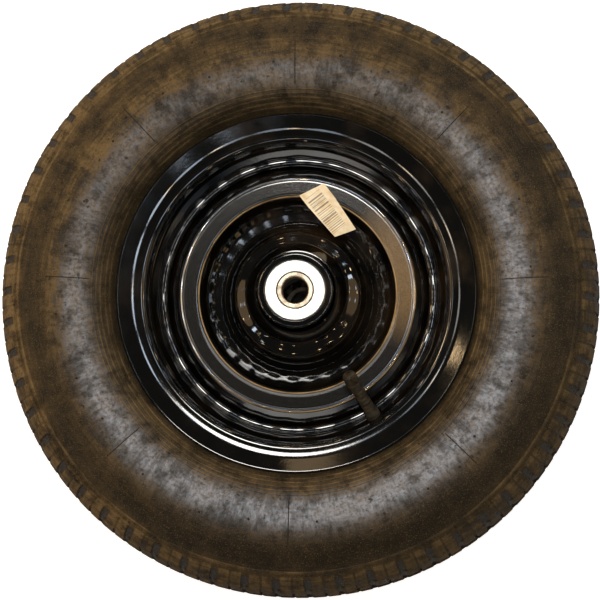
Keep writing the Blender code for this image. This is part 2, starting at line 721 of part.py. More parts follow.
def main():
    for thing in list(bpy.data.objects):
        bpy.data.objects.remove(thing, do_unlink=True)
    rubber = paint("tyre_rubber", (0.055, 0.042, 0.030), 0.0, 0.62)
    stem_rubber = paint("stem_rubber", (0.050, 0.030, 0.018), 0.0, 0.55)
    black = paint("gloss_black_paint", (0.006, 0.006, 0.007), 0.0, 0.12)
    steel = paint("bearing_steel", (0.62, 0.61, 0.58), 1.0, 0.28)
    bright = paint("zinc_plate", (0.80, 0.80, 0.79), 1.0, 0.25)
    brass = paint("brass", (0.60, 0.43, 0.18), 1.0, 0.30)
    plastic = paint("cap_plastic", (0.040, 0.028, 0.020), 0.0, 0.50)
    paper = paint("label_paper", (0.82, 0.70, 0.50), 0.0, 0.60)
    paint("guide", (0.5, 0.5, 0.5), 0.0, 0.5)
    frame = valve_frame()
    build_tyre(rubber)
    build_inner_tube(rubber, frame)
    build_rim(black, frame)
    build_discs(black)
    build_hub_tube(black)
    middle = BEARING_FACE - BEARING_WIDTH / 2
    build_bearing("front", middle, 1, steel, bright)
    build_bearing("rear", -middle, -1, steel, bright)
    build_valve(frame, stem_rubber, brass, plastic)
    build_label(paper)


main()
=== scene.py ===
"""Looks of a wheelbarrow wheel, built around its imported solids.

The wheel lies flat, its axle line is Z and its valve side is up. The origin is the wheel's
centre. Lengths are in metres, angles in radians unless a name says degrees.
"""

import logging
import math
from dataclasses import dataclass
from enum import Enum

import bmesh
import bpy
import numpy as np
from mathutils import Matrix, Vector


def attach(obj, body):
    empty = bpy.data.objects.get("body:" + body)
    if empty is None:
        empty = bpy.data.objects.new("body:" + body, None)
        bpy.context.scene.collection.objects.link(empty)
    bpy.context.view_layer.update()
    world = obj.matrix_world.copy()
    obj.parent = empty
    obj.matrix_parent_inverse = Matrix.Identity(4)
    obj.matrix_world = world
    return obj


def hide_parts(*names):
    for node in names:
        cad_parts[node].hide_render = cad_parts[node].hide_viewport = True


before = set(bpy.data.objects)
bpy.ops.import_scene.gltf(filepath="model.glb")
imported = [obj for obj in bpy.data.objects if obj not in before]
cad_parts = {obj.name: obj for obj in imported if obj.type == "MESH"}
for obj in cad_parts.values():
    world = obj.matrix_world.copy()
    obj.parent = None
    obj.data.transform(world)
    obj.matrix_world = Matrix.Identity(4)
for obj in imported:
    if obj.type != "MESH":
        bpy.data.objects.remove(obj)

log = logging.getLogger("wheel")

Row = tuple[float, float]
Colour = tuple[float, float, float]
Link = bpy.types.NodeSocket | float

FINE_ARC = math.radians(4.0)
# Share of a straight run that one fillet may take.
FILLET_REACH = 0.48
# Least cosine of half a bend that widens a sheet's mitre.
SHARPEST_MITRE = 0.5
# Radius below which a point counts as lying on the axis.
ON_AXIS = 1e-9


class Side(Enum):
    """Which side of the wheel a piece is on."""

    FRONT = 1
    REAR = -1

    @property
    def word(self) -> str:
        """Name of the side as the pieces use it."""
        return self.name.lower()


class Tone(Enum):
    """Colour of a lamp's light."""

    COOL = (0.74, 0.86, 1.0)
    WARM = (1.0, 0.70, 0.38)
    BROWN = (1.0, 0.66, 0.34)
    PLAIN = (1.0, 0.96, 0.90)


def tint(red: float, green: float, blue: float) -> Colour:
    """Turn a colour given on the 0 to 255 scale of a screen into linear light.

    Args:
        red: Red share, 0 to 255.
        green: Green share, 0 to 255.
        blue: Blue share, 0 to 255.

    Returns:
        The linear colour.
    """
    shares = [value / 255.0 for value in (red, green, blue)]
    return tuple(s / 12.92 if s <= 0.04045 else ((s + 0.055) / 1.055) ** 2.4 for s in shares)


def fillet_path(corners: list[tuple[float, float, float]], step: float = FINE_ARC) -> list[Vector]:
    """Run a path through corners and turn each fillet into an arc.

    Args:
        corners: Radius, height and fillet of each corner.
        step: Largest turn between two points of an arc.

    Returns:
        Points of the path.
    """
    spots = [Vector((corner[0], corner[1])) for corner in corners]
    path = [spots[0]]
    for index in range(1, len(corners) - 1):
        here = spots[index]
        back, ahead = spots[index - 1] - here, spots[index + 1] - here
        opening = back.angle(ahead)
        longest = FILLET_REACH * min(back.length, ahead.length)
        reach = min(corners[index][2] / math.tan(opening / 2), longest)
        fillet = reach * math.tan(opening / 2)
        middle = (back.normalized() + ahead.normalized()).normalized()
        centre = here + middle * (fillet / math.sin(opening / 2))
        start = here + back.normalized() * reach - centre
        end = here + ahead.normalized() * reach - centre
        sweep = math.atan2(start.cross(end), start.dot(end))
        count = max(1, math.ceil(abs(sweep) / step))
        across = Vector((-start.y, start.x))
        for part in range(count + 1):
            turned = sweep * part / count
            path.append(centre + start * math.cos(turned) + across * math.sin(turned))
    path.append(spots[-1])
    return path


def sheet_section(path: list[Vector], thickness: float, edge_points: int = 4) -> list[Vector]:
    """Closed outline of a bent sheet with rolled-over edges.

    Args:
        path: Middle line of the sheet.
        thickness: Thickness of the sheet.
        edge_points: Points that round each edge.

    Returns:
        Points of the closed outline.
    """
    left, right = [], []
    for index, spot in enumerate(path):
        before = (spot - path[index - 1]).normalized() if index else None
        after = (path[index + 1] - spot).normalized() if index + 1 < len(path) else None
        before = before or after
        after = after or before
        along = (before + after).normalized()
        across = Vector((-along.y, along.x))
        reach = thickness / 2 / max(SHARPEST_MITRE, along.dot(after))
        left.append(spot + across * reach)
        right.append(spot - across * reach)

    def cap(spot: Vector, outward: Vector, first: Vector) -> list[Vector]:
        """Half circle over one edge of the sheet, from its first side to the other."""
        turns = [math.pi * (k + 1) / (edge_points + 1) for k in range(edge_points)]
        return [spot + (first * math.cos(t) + outward * math.sin(t)) * thickness / 2 for t in turns]

    end_out = (path[-1] - path[-2]).normalized()
    start_out = (path[0] - path[1]).normalized()
    end_left = Vector((-end_out.y, end_out.x))
    start_right = Vector((-start_out.y, start_out.x))
    pull = thickness / 2
    left[-1], right[-1] = left[-1] - end_out * pull, right[-1] - end_out * pull
    left[0], right[0] = left[0] - start_out * pull, right[0] - start_out * pull
    last, first = path[-1] - end_out * pull, path[0] - start_out * pull
    return left + cap(last, end_out, end_left) + right[::-1] + cap(first, start_out, start_right)


def mirrored(section: list[Vector]) -> list[Vector]:
    """The same outline on the other side of the wheel's middle plane."""
    return [Vector((spot[0], -spot[1])) for spot in section]


def settle(name: str, bm: bmesh.types.BMesh, crease_degrees: float = 32.0) -> bpy.types.Object:
    """Turn a bmesh into a named object with its faces out and its round stretches smooth.

    Args:
        name: Name of the piece.
        bm: Mesh under construction, which is freed.
        crease_degrees: Turn between two faces from which their edge stays sharp.

    Returns:
        The new object.
    """
    bmesh.ops.recalc_face_normals(bm, faces=bm.faces[:])
    mesh = bpy.data.meshes.new(name)
    bm.to_mesh(mesh)
    bm.free()
    mesh.shade_smooth()
    mesh.set_sharp_from_angle(angle=math.radians(crease_degrees))
    piece = bpy.data.objects.new(name, mesh)
    bpy.context.scene.collection.objects.link(piece)
    return piece


def propped(section: list[Vector], closed: bool, gap: float = 0.00010,
            shortest: float = 0.0016) -> list[Vector]:
    """Add a point close to each end of the long runs, so that they shade flat up to their fillets.

    Args:
        section: Points of an outline.
        closed: Whether the last point joins the first.
        gap: Distance of an added point from the run's end.
        shortest: Shortest run that gets such points.

    Returns:
        Points of the same outline with the added ones.
    """
    points = []
    for index, spot in enumerate(section):
        points.append(spot)
        ahead = Vector(section[(index + 1) % len(section)]) - Vector(spot)
        if ahead.length < shortest or (not closed and index == len(section) - 1):
            continue
        points.append(Vector(spot) + ahead.normalized() * gap)
        points.append(Vector(spot) + ahead * (1.0 - gap / ahead.length))
    return points


def lathe(section: list[Vector], segments: int, closed: bool = True) -> bmesh.types.BMesh:
    """Revolve an outline of radius and height about Z.

    Args:
        section: Points of the outline. An open one may start and end on the axis.
        segments: Steps round the axis.
        closed: Whether the last point joins the first.

    Returns:
        The mesh under construction.
    """
    bm = bmesh.new()
    rings = []
    for radius, height in propped(section, closed):
        if radius < ON_AXIS:
            rings.append([bm.verts.new((0.0, 0.0, height))] * segments)
            continue
        turns = [2 * math.pi * k / segments for k in range(segments)]
        rings.append([bm.verts.new((radius * math.cos(t), radius * math.sin(t), height)) for t in turns])
    pairs = list(zip(rings, rings[1:]))
    if closed:
        pairs.append((rings[-1], rings[0]))
    for first, second in pairs:
        for k in range(segments):
            corners = (first[k - 1], first[k], second[k], second[k - 1])
            bm.faces.new(dict.fromkeys(corners))
    return bm


@dataclass(frozen=True)
class Cloud:
    """Noise pattern: cells a metre, or a unit of its vector, octaves and the finer octaves' share."""

    scale: float
    detail: float = 3.0
    rough: float = 0.55


@dataclass(frozen=True)
class Ramp:
    """Easing of a number from low to high into start to end, held past both."""

    low: float
    high: float
    start: float = 0.0
    end: float = 1.0


class Sketch:
    """Node graph of one finish, with short calls for its usual steps."""

    def __init__(self, name: str) -> None:
        """Start a material of this name with its shader and its object coordinates."""
        self.material = bpy.data.materials.new(name)
        self.material.use_nodes = True
        self.tree = self.material.node_tree
        self.shader = self.tree.nodes["Principled BSDF"]
        self.place = self.tree.nodes.new("ShaderNodeTexCoord").outputs["Object"]

    def feed(self, socket: bpy.types.NodeSocket, value: Link | Colour) -> None:
        """Link a socket to a node's output, or set its number or colour."""
        if isinstance(value, bpy.types.NodeSocket):
            self.tree.links.new(value, socket)
        elif socket.type == "RGBA":
            socket.default_value = (*value, 1.0)
        else:
            socket.default_value = value

    def maths(self, operation: str, first: Link, second: Link = 0.0) -> Link:
        """One step of arithmetic.

        Args:
            operation: Blender's name for the step.
            first: First number.
            second: Second number, where the step has one.

        Returns:
            The result's socket.
        """
        node = self.tree.nodes.new("ShaderNodeMath")
        node.operation = operation
        self.feed(node.inputs[0], first)
        self.feed(node.inputs[1], second)
        return node.outputs[0]

    def times(self, first: Link, second: Link) -> Link:
        """Product of two numbers."""
        return self.maths("MULTIPLY", first, second)

    def plus(self, first: Link, second: Link) -> Link:
        """Sum of two numbers."""
        return self.maths("ADD", first, second)

    def minus(self, first: Link, second: Link) -> Link:
        """First number less the second."""
        return self.maths("SUBTRACT", first, second)

    def facing(self, angle: Link, side: float) -> Link:
        """Cosine of an angle counted from one side: 1 there and -1 opposite."""
        return self.maths("COSINE", self.minus(angle, side))

    def weighted(self, patterns: tuple[Link, ...], weights: tuple[float, ...]) -> Link:
        """Sum of patterns, each times its weight.

        Args:
            patterns: The patterns.
            weights: Weight of each.

        Returns:
            The sum's socket.
        """
        total = self.times(patterns[0], weights[0])
        for pattern, weight in zip(patterns[1:], weights[1:]):
            total = self.plus(total, self.times(pattern, weight))
        return total

    def span(self, value: Link, ramp: Ramp) -> Link:
        """Ease a number through a ramp.

        Args:
            value: The number.
            ramp: The ramp.

        Returns:
            The result's socket.
        """
        node = self.tree.nodes.new("ShaderNodeMapRange")
        node.interpolation_type = "SMOOTHSTEP"
        names = ("Value", "From Min", "From Max", "To Min", "To Max")
        for name, number in zip(names, (value, ramp.low, ramp.high, ramp.start, ramp.end)):
            self.feed(node.inputs[name], number)
        return node.outputs["Result"]

    def band(self, value: Link, rise: Row, fall: Row) -> Link:
        """Share that rises from 0 to 1 over one range of a number and falls back over another."""
        return self.times(self.span(value, Ramp(*rise)), self.span(value, Ramp(*fall, 1.0, 0.0)))

    def split(self) -> tuple[Link, Link, Link]:
        """The three coordinates of the object's own place."""
        node = self.tree.nodes.new("ShaderNodeSeparateXYZ")
        self.feed(node.inputs[0], self.place)
        return node.outputs[0], node.outputs[1], node.outputs[2]

    def joined(self, x: Link, y: Link, z: Link = 0.0) -> Link:
        """A vector from three numbers."""
        node = self.tree.nodes.new("ShaderNodeCombineXYZ")
        for socket, value in zip(node.inputs, (x, y, z)):
            self.feed(socket, value)
        return node.outputs[0]

    def polar(self) -> tuple[Link, Link, Link]:
        """Radius, angle and height about the wheel's axle line."""
        x, y, z = self.split()
        radius = self.maths("SQRT", self.plus(self.times(x, x), self.times(y, y)))
        return radius, self.maths("ARCTAN2", y, x), z

    def noise(self, cloud: Cloud, vector: Link | None = None) -> Link:
        """Cloudy pattern between 0 and 1.

        Args:
            cloud: Kind of noise.
            vector: Place to read the pattern at, if not the object's own.

        Returns:
            The pattern's socket.
        """
        node = self.tree.nodes.new("ShaderNodeTexNoise")
        self.feed(node.inputs["Vector"], vector or self.place)
        self.feed(node.inputs["Scale"], cloud.scale)
        self.feed(node.inputs["Detail"], cloud.detail)
        self.feed(node.inputs["Roughness"], cloud.rough)
        return node.outputs["Fac"]

    def painted(self, name: str) -> Link:
        """Number that the mesh carries under this name."""
        node = self.tree.nodes.new("ShaderNodeAttribute")
        node.attribute_name = name
        return node.outputs["Fac"]

    def mix(self, share: Link, first: Link | Colour, second: Link | Colour) -> Link:
        """Blend of two colours.

        Args:
            share: Part of the second colour.
            first: Colour at 0.
            second: Colour at 1.

        Returns:
            The colour's socket.
        """
        node = self.tree.nodes.new("ShaderNodeMix")
        node.data_type = "RGBA"
        colours = [socket for socket in node.inputs if socket.type == "RGBA"]
        self.feed(node.inputs["Factor"], share)
        self.feed(colours[0], first)
        self.feed(colours[1], second)
        return next(socket for socket in node.outputs if socket.type == "RGBA")

    def bump(self, height: Link, depth: float, strength: float = 1.0, under: Link | None = None) -> Link:
        """Surface relief.

        Args:
            height: Relief pattern.
            depth: Depth of the relief in metres.
            strength: Share of the relief that shows.
            under: Relief that this one lies on.

        Returns:
            The normal's socket.
        """
        node = self.tree.nodes.new("ShaderNodeBump")
        self.feed(node.inputs["Height"], height)
        self.feed(node.inputs["Distance"], depth)
        self.feed(node.inputs["Strength"], strength)
        if under is not None:
            self.feed(node.inputs["Normal"], under)
        return node.outputs["Normal"]

    def finish(self, colour: Link | Colour, roughness: Link, normal: Link | None = None,
               metallic: Link = 0.0) -> bpy.types.Material:
        """Set the shader's colour, roughness, relief and metal.

        Args:
            colour: Base colour.
            roughness: Roughness.
            normal: Relief, if the surface has any.
            metallic: Share of bare metal.

        Returns:
            The material.
        """
        self.feed(self.shader.inputs["Base Color"], colour)
        self.feed(self.shader.inputs["Roughness"], roughness)
        self.feed(self.shader.inputs["Metallic"], metallic)
        if normal is not None:
            self.feed(self.shader.inputs["Normal"], normal)
        return self.material


@dataclass(frozen=True)
class TyreRubber:
    """Black tyre rubber under a thin uneven film of tan dust, with a painted sheen: a grey-blue band
    painted on the bulge where the lamps' sheen lies.

    The mesh carries the numbers dust, pale and bloom, which say where each lies. Dust and pale
    also hold painted highlights on the tread block edges and painted shade on the notch floors.
    """

    bare: Colour = tint(22, 19, 13)
    olive: Colour = tint(30, 25, 14)
    dust: Colour = tint(104, 84, 53)
    pale_dust: Colour = tint(140, 118, 84)
    bloom: Colour = tint(156, 166, 180)
    specular: float = 0.15
    grain: Cloud = Cloud(430.0, 4.0, 0.70)
    cloud: Cloud = Cloud(38.0, 5.0, 0.60)
    streaks: Cloud = Cloud(1.0, 4.0, 0.65)
    rings_around: float = 7.0
    rings_across: float = 420.0
    rays_around: float = 46.0
    rays_across: float = 90.0
    dust_weights: tuple[float, ...] = (0.65, 0.45, 0.35, 0.55)
    dust_contrast: Ramp = Ramp(0.80, 1.20, 0.15, 1.85)
    dust_cover: float = 0.80
    bloom_weights: tuple[float, ...] = (0.55, 0.60)
    bloom_contrast: Ramp = Ramp(0.44, 0.70, 0.35, 1.50)
    patches: Cloud = Cloud(14.0, 2.0, 0.5)
    patch_share: Ramp = Ramp(0.40, 0.62)
    smears: Cloud = Cloud(95.0, 4.0, 0.62)
    smear_share: Ramp = Ramp(0.46, 0.68, 0.0, 0.62)
    grain_share: Ramp = Ramp(0.44, 0.70, 0.0, 0.50)
    scuffs: Cloud = Cloud(1300.0, 3.0, 0.65)
    scuff_share: Ramp = Ramp(0.54, 0.72, 0.0, 0.40)
    pits: Cloud = Cloud(230.0, 2.0, 0.5)
    pit_share: Ramp = Ramp(0.68, 0.75, 0.0, 0.7)
    dulling: Ramp = Ramp(0.1, 1.0, 0.40, 0.85)
    grain_dulling: float = 0.5
    tread_dulling: Ramp = Ramp(0.180, 0.186, 0.0, 0.28)
    grain_depth: float = 0.0006
    grain_strength: float = 0.7
    ring_depth: float = 0.0003
    ring_strength: float = 0.35

    def material(self) -> bpy.types.Material:
        """Make the finish.

        Returns:
            The material.
        """
        s = Sketch("tyre_rubber_finish")
        radius, angle, _ = s.polar()
        grain, cloud = s.noise(self.grain), s.noise(self.cloud)
        ring_place = s.joined(s.times(angle, self.rings_around), s.times(radius, self.rings_across))
        ray_place = s.joined(s.times(angle, self.rays_around), s.times(radius, self.rays_across))
        rings, rays = s.noise(self.streaks, ring_place), s.noise(self.streaks, ray_place)
        mottle = s.weighted((cloud, grain, rays, rings), self.dust_weights)
        dusty = s.times(s.painted("dust"), s.span(mottle, self.dust_contrast))
        rubber = s.mix(s.span(s.noise(self.patches), self.patch_share), self.bare, self.olive)
        # Painted sheen: a streaked grey-blue band painted on the sidewall's bulge where the lamps' sheen
        # lies.
        streak = s.weighted((rays, cloud), self.bloom_weights)
        bright = s.times(s.painted("bloom"), s.span(streak, self.bloom_contrast))
        tan = s.mix(s.painted("pale"), self.dust, self.pale_dust)
        colour = s.mix(s.times(dusty, self.dust_cover), s.mix(bright, rubber, self.bloom), tan)
        colour = s.mix(s.span(s.noise(self.smears), self.smear_share), colour, self.bare)
        colour = s.mix(s.span(grain, self.grain_share), colour, self.bare)
        colour = s.mix(s.span(s.noise(self.scuffs), self.scuff_share), colour, self.pale_dust)
        colour = s.mix(s.span(s.noise(self.pits), self.pit_share), colour, self.bare)
        gloss = s.span(s.plus(dusty, s.times(grain, self.grain_dulling)), self.dulling)
        gloss = s.plus(gloss, s.span(radius, self.tread_dulling))
        ring_relief = s.bump(rings, self.ring_depth, self.ring_strength)
        relief = s.bump(grain, self.grain_depth, self.grain_strength, ring_relief)
        s.shader.inputs["Specular IOR Level"].default_value = self.specular
        return s.finish(colour, gloss, relief)


@dataclass(frozen=True)
class GlossBlack:
    """Thick gloss black paint on pressed steel, with a little peel, brown film and specks."""

    name: str = "gloss_black_finish"
    paint: Colour = tint(4, 4, 3)
    brown: Colour = tint(62, 47, 30)
    specular: float = 0.85
    peel: Cloud = Cloud(620.0, 2.0, 0.5)
    peel_depth: float = 0.000010
    wave: Cloud = Cloud(75.0, 2.0, 0.5)
    wave_depth: float = 0.000025
    film: Cloud = Cloud(24.0, 4.0, 0.6)
    film_share: Ramp = Ramp(0.44, 0.72, 0.0, 0.34)
    film_side_degrees: float = 48.0
    film_toward: Ramp = Ramp(-0.3, 1.0, 0.35, 1.0)
    film_gloss: Ramp = Ramp(0.38, 0.76, 0.055, 0.115)
    specks: Cloud = Cloud(1700.0, 2.0, 0.6)
    speck_share: Ramp = Ramp(0.70, 0.77, 0.0, 0.45)
    speck_gloss: Ramp = Ramp(0.64, 0.75, 0.0, 0.08)

    def material(self) -> bpy.types.Material:
        """Make the finish.

        Returns:
            The material.
        """
        s = Sketch(self.name)
        _, angle, _ = s.polar()
        film, speck, wave = s.noise(self.film), s.noise(self.specks), s.noise(self.wave)
        by_side = s.span(s.facing(angle, math.radians(self.film_side_degrees)), self.film_toward)
        colour = s.mix(s.times(s.span(film, self.film_share), by_side), self.paint, self.brown)
        colour = s.mix(s.span(speck, self.speck_share), colour, self.brown)
        gloss = s.plus(s.span(film, self.film_gloss), s.span(speck, self.speck_gloss))
        relief = s.bump(s.noise(self.peel), self.peel_depth, 1.0, s.bump(wave, self.wave_depth))
        s.shader.inputs["Specular IOR Level"].default_value = self.specular
        colour, gloss, metal = self.worn(s, colour, gloss)
        return s.finish(colour, gloss, relief, metal)

    def worn(self, s: Sketch, colour: Link, gloss: Link) -> tuple[Link, Link, Link]:
        """Wear the paint and paint light on it: plain painted steel keeps its colour and roughness and shows
        no metal.
        """
        return colour, gloss, 0.0


@dataclass(frozen=True)
class WornAndLitLine:
    """Line round the axle, painted as a highlight and shown as paint rubbed thin or through to the metal."""

    radius: float
    half_width: float
    colour: Colour
    only_low: bool = False
    to_metal: bool = False


@dataclass(frozen=True)
class DiscBlack(GlossBlack):
    """The discs' gloss black: a satin ring on the crown with a painted warm reflection to one side, a dull
    lip, and lines beside it painted as highlights and shown rubbed.
    """

    name: str = "disc_black_finish"
    ring_inner: float = 0.0652
    ring_outer: float = 0.0776
    ring_fade: float = 0.0006
    grain: Cloud = Cloud(1900.0, 4.0, 0.7)
    satin_gloss: Ramp = Ramp(0.35, 0.70, 0.10, 0.18)
    veil_grey: Colour = tint(28, 26, 23)
    painted_warm_reflection: Colour = tint(150, 122, 82)
    veil_share: Ramp = Ramp(0.35, 0.65, 0.40, 0.80)
    reflection_side: float = 0.22
    reflection_share: Ramp = Ramp(0.72, 1.0, 0.0, 0.95)
    front: Ramp = Ramp(0.018, 0.021)
    lip_start: Row = (0.0618, 0.0626)
    lip_end: Row = (0.0676, 0.0688)
    lip_side: Ramp = Ramp(-0.65, -0.15, 0.32, 0.0)
    worn_and_lit_share: Ramp = Ramp(0.30, 0.62, 0.35, 1.0)
    low_side: float = -1.0
    low_share: Ramp = Ramp(-0.1, 0.6)
    lines: tuple[WornAndLitLine, ...] = (
        WornAndLitLine(0.0771, 0.00066, tint(206, 216, 230), to_metal=True),
        WornAndLitLine(0.0780, 0.00050, tint(178, 146, 96), only_low=True),
        WornAndLitLine(0.0655, 0.00055, tint(178, 146, 96)),
    )

    def worn(self, s: Sketch, colour: Link, gloss: Link) -> tuple[Link, Link, Link]:
        """Wear the paint on and round the crown, and paint a warm reflection and highlight lines there.

        Args:
            s: The finish's graph.
            colour: The paint's colour.
            gloss: The paint's roughness.

        Returns:
            The worn colour and roughness, and the share of bare metal.
        """
        radius, angle, height = s.polar()
        grain, fade = s.noise(self.grain), self.ring_fade
        satin = s.band(radius, (self.ring_inner - fade, self.ring_inner + fade),
                       (self.ring_outer - fade, self.ring_outer + fade))
        gloss = s.plus(gloss, s.times(satin, s.minus(s.span(grain, self.satin_gloss), gloss)))
        # Painted reflection: the satin ring's grey turns tan toward one side, where a warm lamp's reflection
        # lies.
        veil_and_reflection = s.mix(s.span(s.facing(angle, self.reflection_side), self.reflection_share), self.veil_grey, self.painted_warm_reflection)
        colour = s.mix(s.times(satin, s.span(grain, self.veil_share)), colour, veil_and_reflection)
        front = s.span(height, self.front)
        below = s.times(front, s.span(s.maths("SINE", angle), self.lip_side))
        gloss = s.plus(gloss, s.times(s.band(radius, self.lip_start, self.lip_end), below))
        worn_and_lit_share = s.times(front, s.span(s.noise(self.wave), self.worn_and_lit_share))
        low = s.times(worn_and_lit_share, s.span(s.facing(angle, self.low_side), self.low_share))
        metal: Link = 0.0
        # Painted highlights: lines along the satin ring's edges, blue-white and part bare metal outside, gold
        # inside, and a gold one just outside on the lower right.
        for line in self.lines:
            away = s.maths("ABSOLUTE", s.minus(radius, line.radius))
            shape = s.span(away, Ramp(line.half_width / 3, line.half_width, 1.0, 0.0))
            rubbed_and_lit = s.times(shape, low if line.only_low else worn_and_lit_share)
            colour = s.mix(rubbed_and_lit, colour, line.colour)
            metal = rubbed_and_lit if line.to_metal else metal
        return colour, gloss, metal


@dataclass(frozen=True)
class BrightMetal:
    """Bare or plated metal with fine turning marks and light smudges."""

    name: str
    metal: Colour
    shade: Colour
    roughness: float = 0.30
    marks: float = 4200.0
    turned: bool = True
    marks_around: float = 1.5
    mark_detail: float = 2.0
    mark_rough: float = 0.6
    mark_gloss: Ramp = Ramp(0.3, 0.7, -0.03, 0.05)
    mark_depth: float = 0.000015
    mark_strength: float = 0.8
    smudges: Cloud = Cloud(190.0, 4.0, 0.6)
    smudge_share: Ramp = Ramp(0.40, 0.72)
    smudge_low: float = 0.35
    smudge_high: float = 0.70
    smudge_dulling: float = 0.14

    def material(self) -> bpy.types.Material:
        """Make the finish.

        Returns:
            The material.
        """
        s = Sketch(self.name)
        radius, angle, height = s.polar()
        if self.turned:
            lines = s.joined(s.times(radius, self.marks), s.times(height, self.marks),
                             s.times(angle, self.marks_around))
            grooves = s.noise(Cloud(1.0, self.mark_detail, self.mark_rough), lines)
        else:
            grooves = s.noise(Cloud(self.marks, self.mark_detail, self.mark_rough))
        smudge = s.noise(self.smudges)
        colour = s.mix(s.span(smudge, self.smudge_share), self.metal, self.shade)
        dulled = Ramp(self.smudge_low, self.smudge_high, self.roughness, self.roughness + self.smudge_dulling)
        gloss = s.plus(s.span(smudge, dulled), s.span(grooves, self.mark_gloss))
        return s.finish(colour, gloss, s.bump(grooves, self.mark_depth, self.mark_strength), 1.0)


@dataclass(frozen=True)
class DustyMoulding:
    """Moulded rubber or plastic of the valve, brown with dust."""

    name: str
    bare: Colour
    dust: Colour
    roughness: float = 0.5
    cloud: Cloud = Cloud(210.0, 4.0, 0.65)
    grain: Cloud = Cloud(1600.0, 3.0, 0.6)
    weights: tuple[float, ...] = (0.7, 0.3)
    dust_share: Ramp = Ramp(0.38, 0.66, 0.05, 0.95)
    dull_low: float = 0.35
    dull_high: float = 0.65
    dulling: float = 0.28
    grain_depth: float = 0.00008
    grain_strength: float = 0.6

    def material(self) -> bpy.types.Material:
        """Make the finish.

        Returns:
            The material.
        """
        s = Sketch(self.name)
        grain = s.noise(self.grain)
        dusty = s.weighted((s.noise(self.cloud), grain), self.weights)
        colour = s.mix(s.span(dusty, self.dust_share), self.bare, self.dust)
        dulled = Ramp(self.dull_low, self.dull_high, self.roughness, self.roughness + self.dulling)
        gloss = s.span(dusty, dulled)
        return s.finish(colour, gloss, s.bump(grain, self.grain_depth, self.grain_strength))


@dataclass(frozen=True)
class LabelPaper:
    """Cream label paper with plain bars across it."""

    paper: Colour = tint(243, 226, 190)
    aged: Colour = tint(222, 194, 146)
    ink: Colour = tint(96, 82, 70)
    bars: Cloud = Cloud(1.0, 2.0, 0.7)
    bars_along: float = 700.0
    bar_layer: float = 3.0
    bar_share: Ramp = Ramp(0.50, 0.54, 0.0, 0.80)
    print_start: Row = (-0.44, -0.40)
    print_end: Row = (0.36, 0.40)
    print_low: Row = (-0.42, -0.38)
    print_high: Row = (0.20, 0.24)
    cloud: Cloud = Cloud(160.0, 4.0, 0.6)
    aged_share: Ramp = Ramp(0.40, 0.75)
    dulling: Ramp = Ramp(0.3, 0.7, 0.42, 0.62)
    fibre: Cloud = Cloud(2600.0, 2.0, 0.6)
    fibre_depth: float = 0.00004
    fibre_strength: float = 0.4
    creases: Cloud = Cloud(95.0, 3.0, 0.5)
    crease_depth: float = 0.0006
    crease_strength: float = 0.5

    def material(self, centre: Vector, turn: float, length: float, width: float) -> bpy.types.Material:
        """Make the finish.

        Args:
            centre: Middle of the label.
            turn: Turn of the label's long side about Z.
            length: Length of the label.
            width: Width of the label.

        Returns:
            The material.
        """
        s = Sketch("label_paper_finish")
        x, y, _ = s.split()
        east, north = s.minus(x, centre.x), s.minus(y, centre.y)
        along = s.plus(s.times(east, math.cos(turn)), s.times(north, math.sin(turn)))
        across = s.minus(s.times(north, math.cos(turn)), s.times(east, math.sin(turn)))
        by_length, by_width = s.maths("DIVIDE", along, length), s.maths("DIVIDE", across, width)
        printed = s.times(s.band(by_length, self.print_start, self.print_end),
                          s.band(by_width, self.print_low, self.print_high))
        bars = s.noise(self.bars, s.joined(s.times(along, self.bars_along), 0.0, self.bar_layer))
        cloud = s.noise(self.cloud)
        sheet = s.mix(s.span(cloud, self.aged_share), self.paper, self.aged)
        colour = s.mix(s.times(s.span(bars, self.bar_share), printed), sheet, self.ink)
        creased = s.bump(s.noise(self.creases), self.crease_depth, self.crease_strength)
        relief = s.bump(s.noise(self.fibre), self.fibre_depth, self.fibre_strength, creased)
        return s.finish(colour, s.span(cloud, self.dulling), relief)


@dataclass(frozen=True)
class PaleFloor:
    """Plain pale floor that stays white in the picture and keeps the object's shadow, with a painted shadow
    under the wheel where its glow fades out.
    """

    pale: Colour = (0.62, 0.62, 0.61)
    roughness: float = 0.9
    glow: Colour = (1.0, 1.0, 1.0)
    glow_outside_painted_shadow: Ramp = Ramp(0.120, 0.185, 0.0, 0.86)

    def material(self) -> bpy.types.Material:
        """Make the finish.

        Returns:
            The material.
        """
        s = Sketch("pale_floor_finish")
        path = s.tree.nodes.new("ShaderNodeLightPath")
        seen = s.maths("MAXIMUM", path.outputs["Is Camera Ray"], path.outputs["Is Glossy Ray"])
        seen = s.maths("MAXIMUM", seen, path.outputs["Is Transmission Ray"])
        radius, _, _ = s.polar()
        s.feed(s.shader.inputs["Emission Color"], self.glow)
        # Painted shadow: the glow fades out under the wheel, so the floor there stays dark.
        s.feed(s.shader.inputs["Emission Strength"], s.times(seen, s.span(radius, self.glow_outside_painted_shadow)))
        return s.finish(self.pale, self.roughness)


def dress(piece: bpy.types.Object, material: bpy.types.Material) -> None:
    """Give a piece its one material."""
    piece.data.materials.clear()
    piece.data.materials.append(material)


def place(piece: bpy.types.Object, material: bpy.types.Material, body: str, slot: str,
          *replaced: str) -> bpy.types.Object:
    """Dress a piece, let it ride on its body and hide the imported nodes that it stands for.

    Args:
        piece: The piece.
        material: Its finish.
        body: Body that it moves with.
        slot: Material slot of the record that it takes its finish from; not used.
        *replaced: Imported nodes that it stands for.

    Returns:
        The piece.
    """
    dress(piece, material)
    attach(piece, body)
    if replaced:
        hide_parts(*replaced)
    log.info("%s: %d faces", piece.name, len(piece.data.polygons))
    return piece


def share_of(value: float, limits: Row) -> float:
    """Share of the way between two limits that a value has gone, held at 0 and 1."""
    low, high = limits
    return min(1.0, max(0.0, (value - low) / (high - low)))


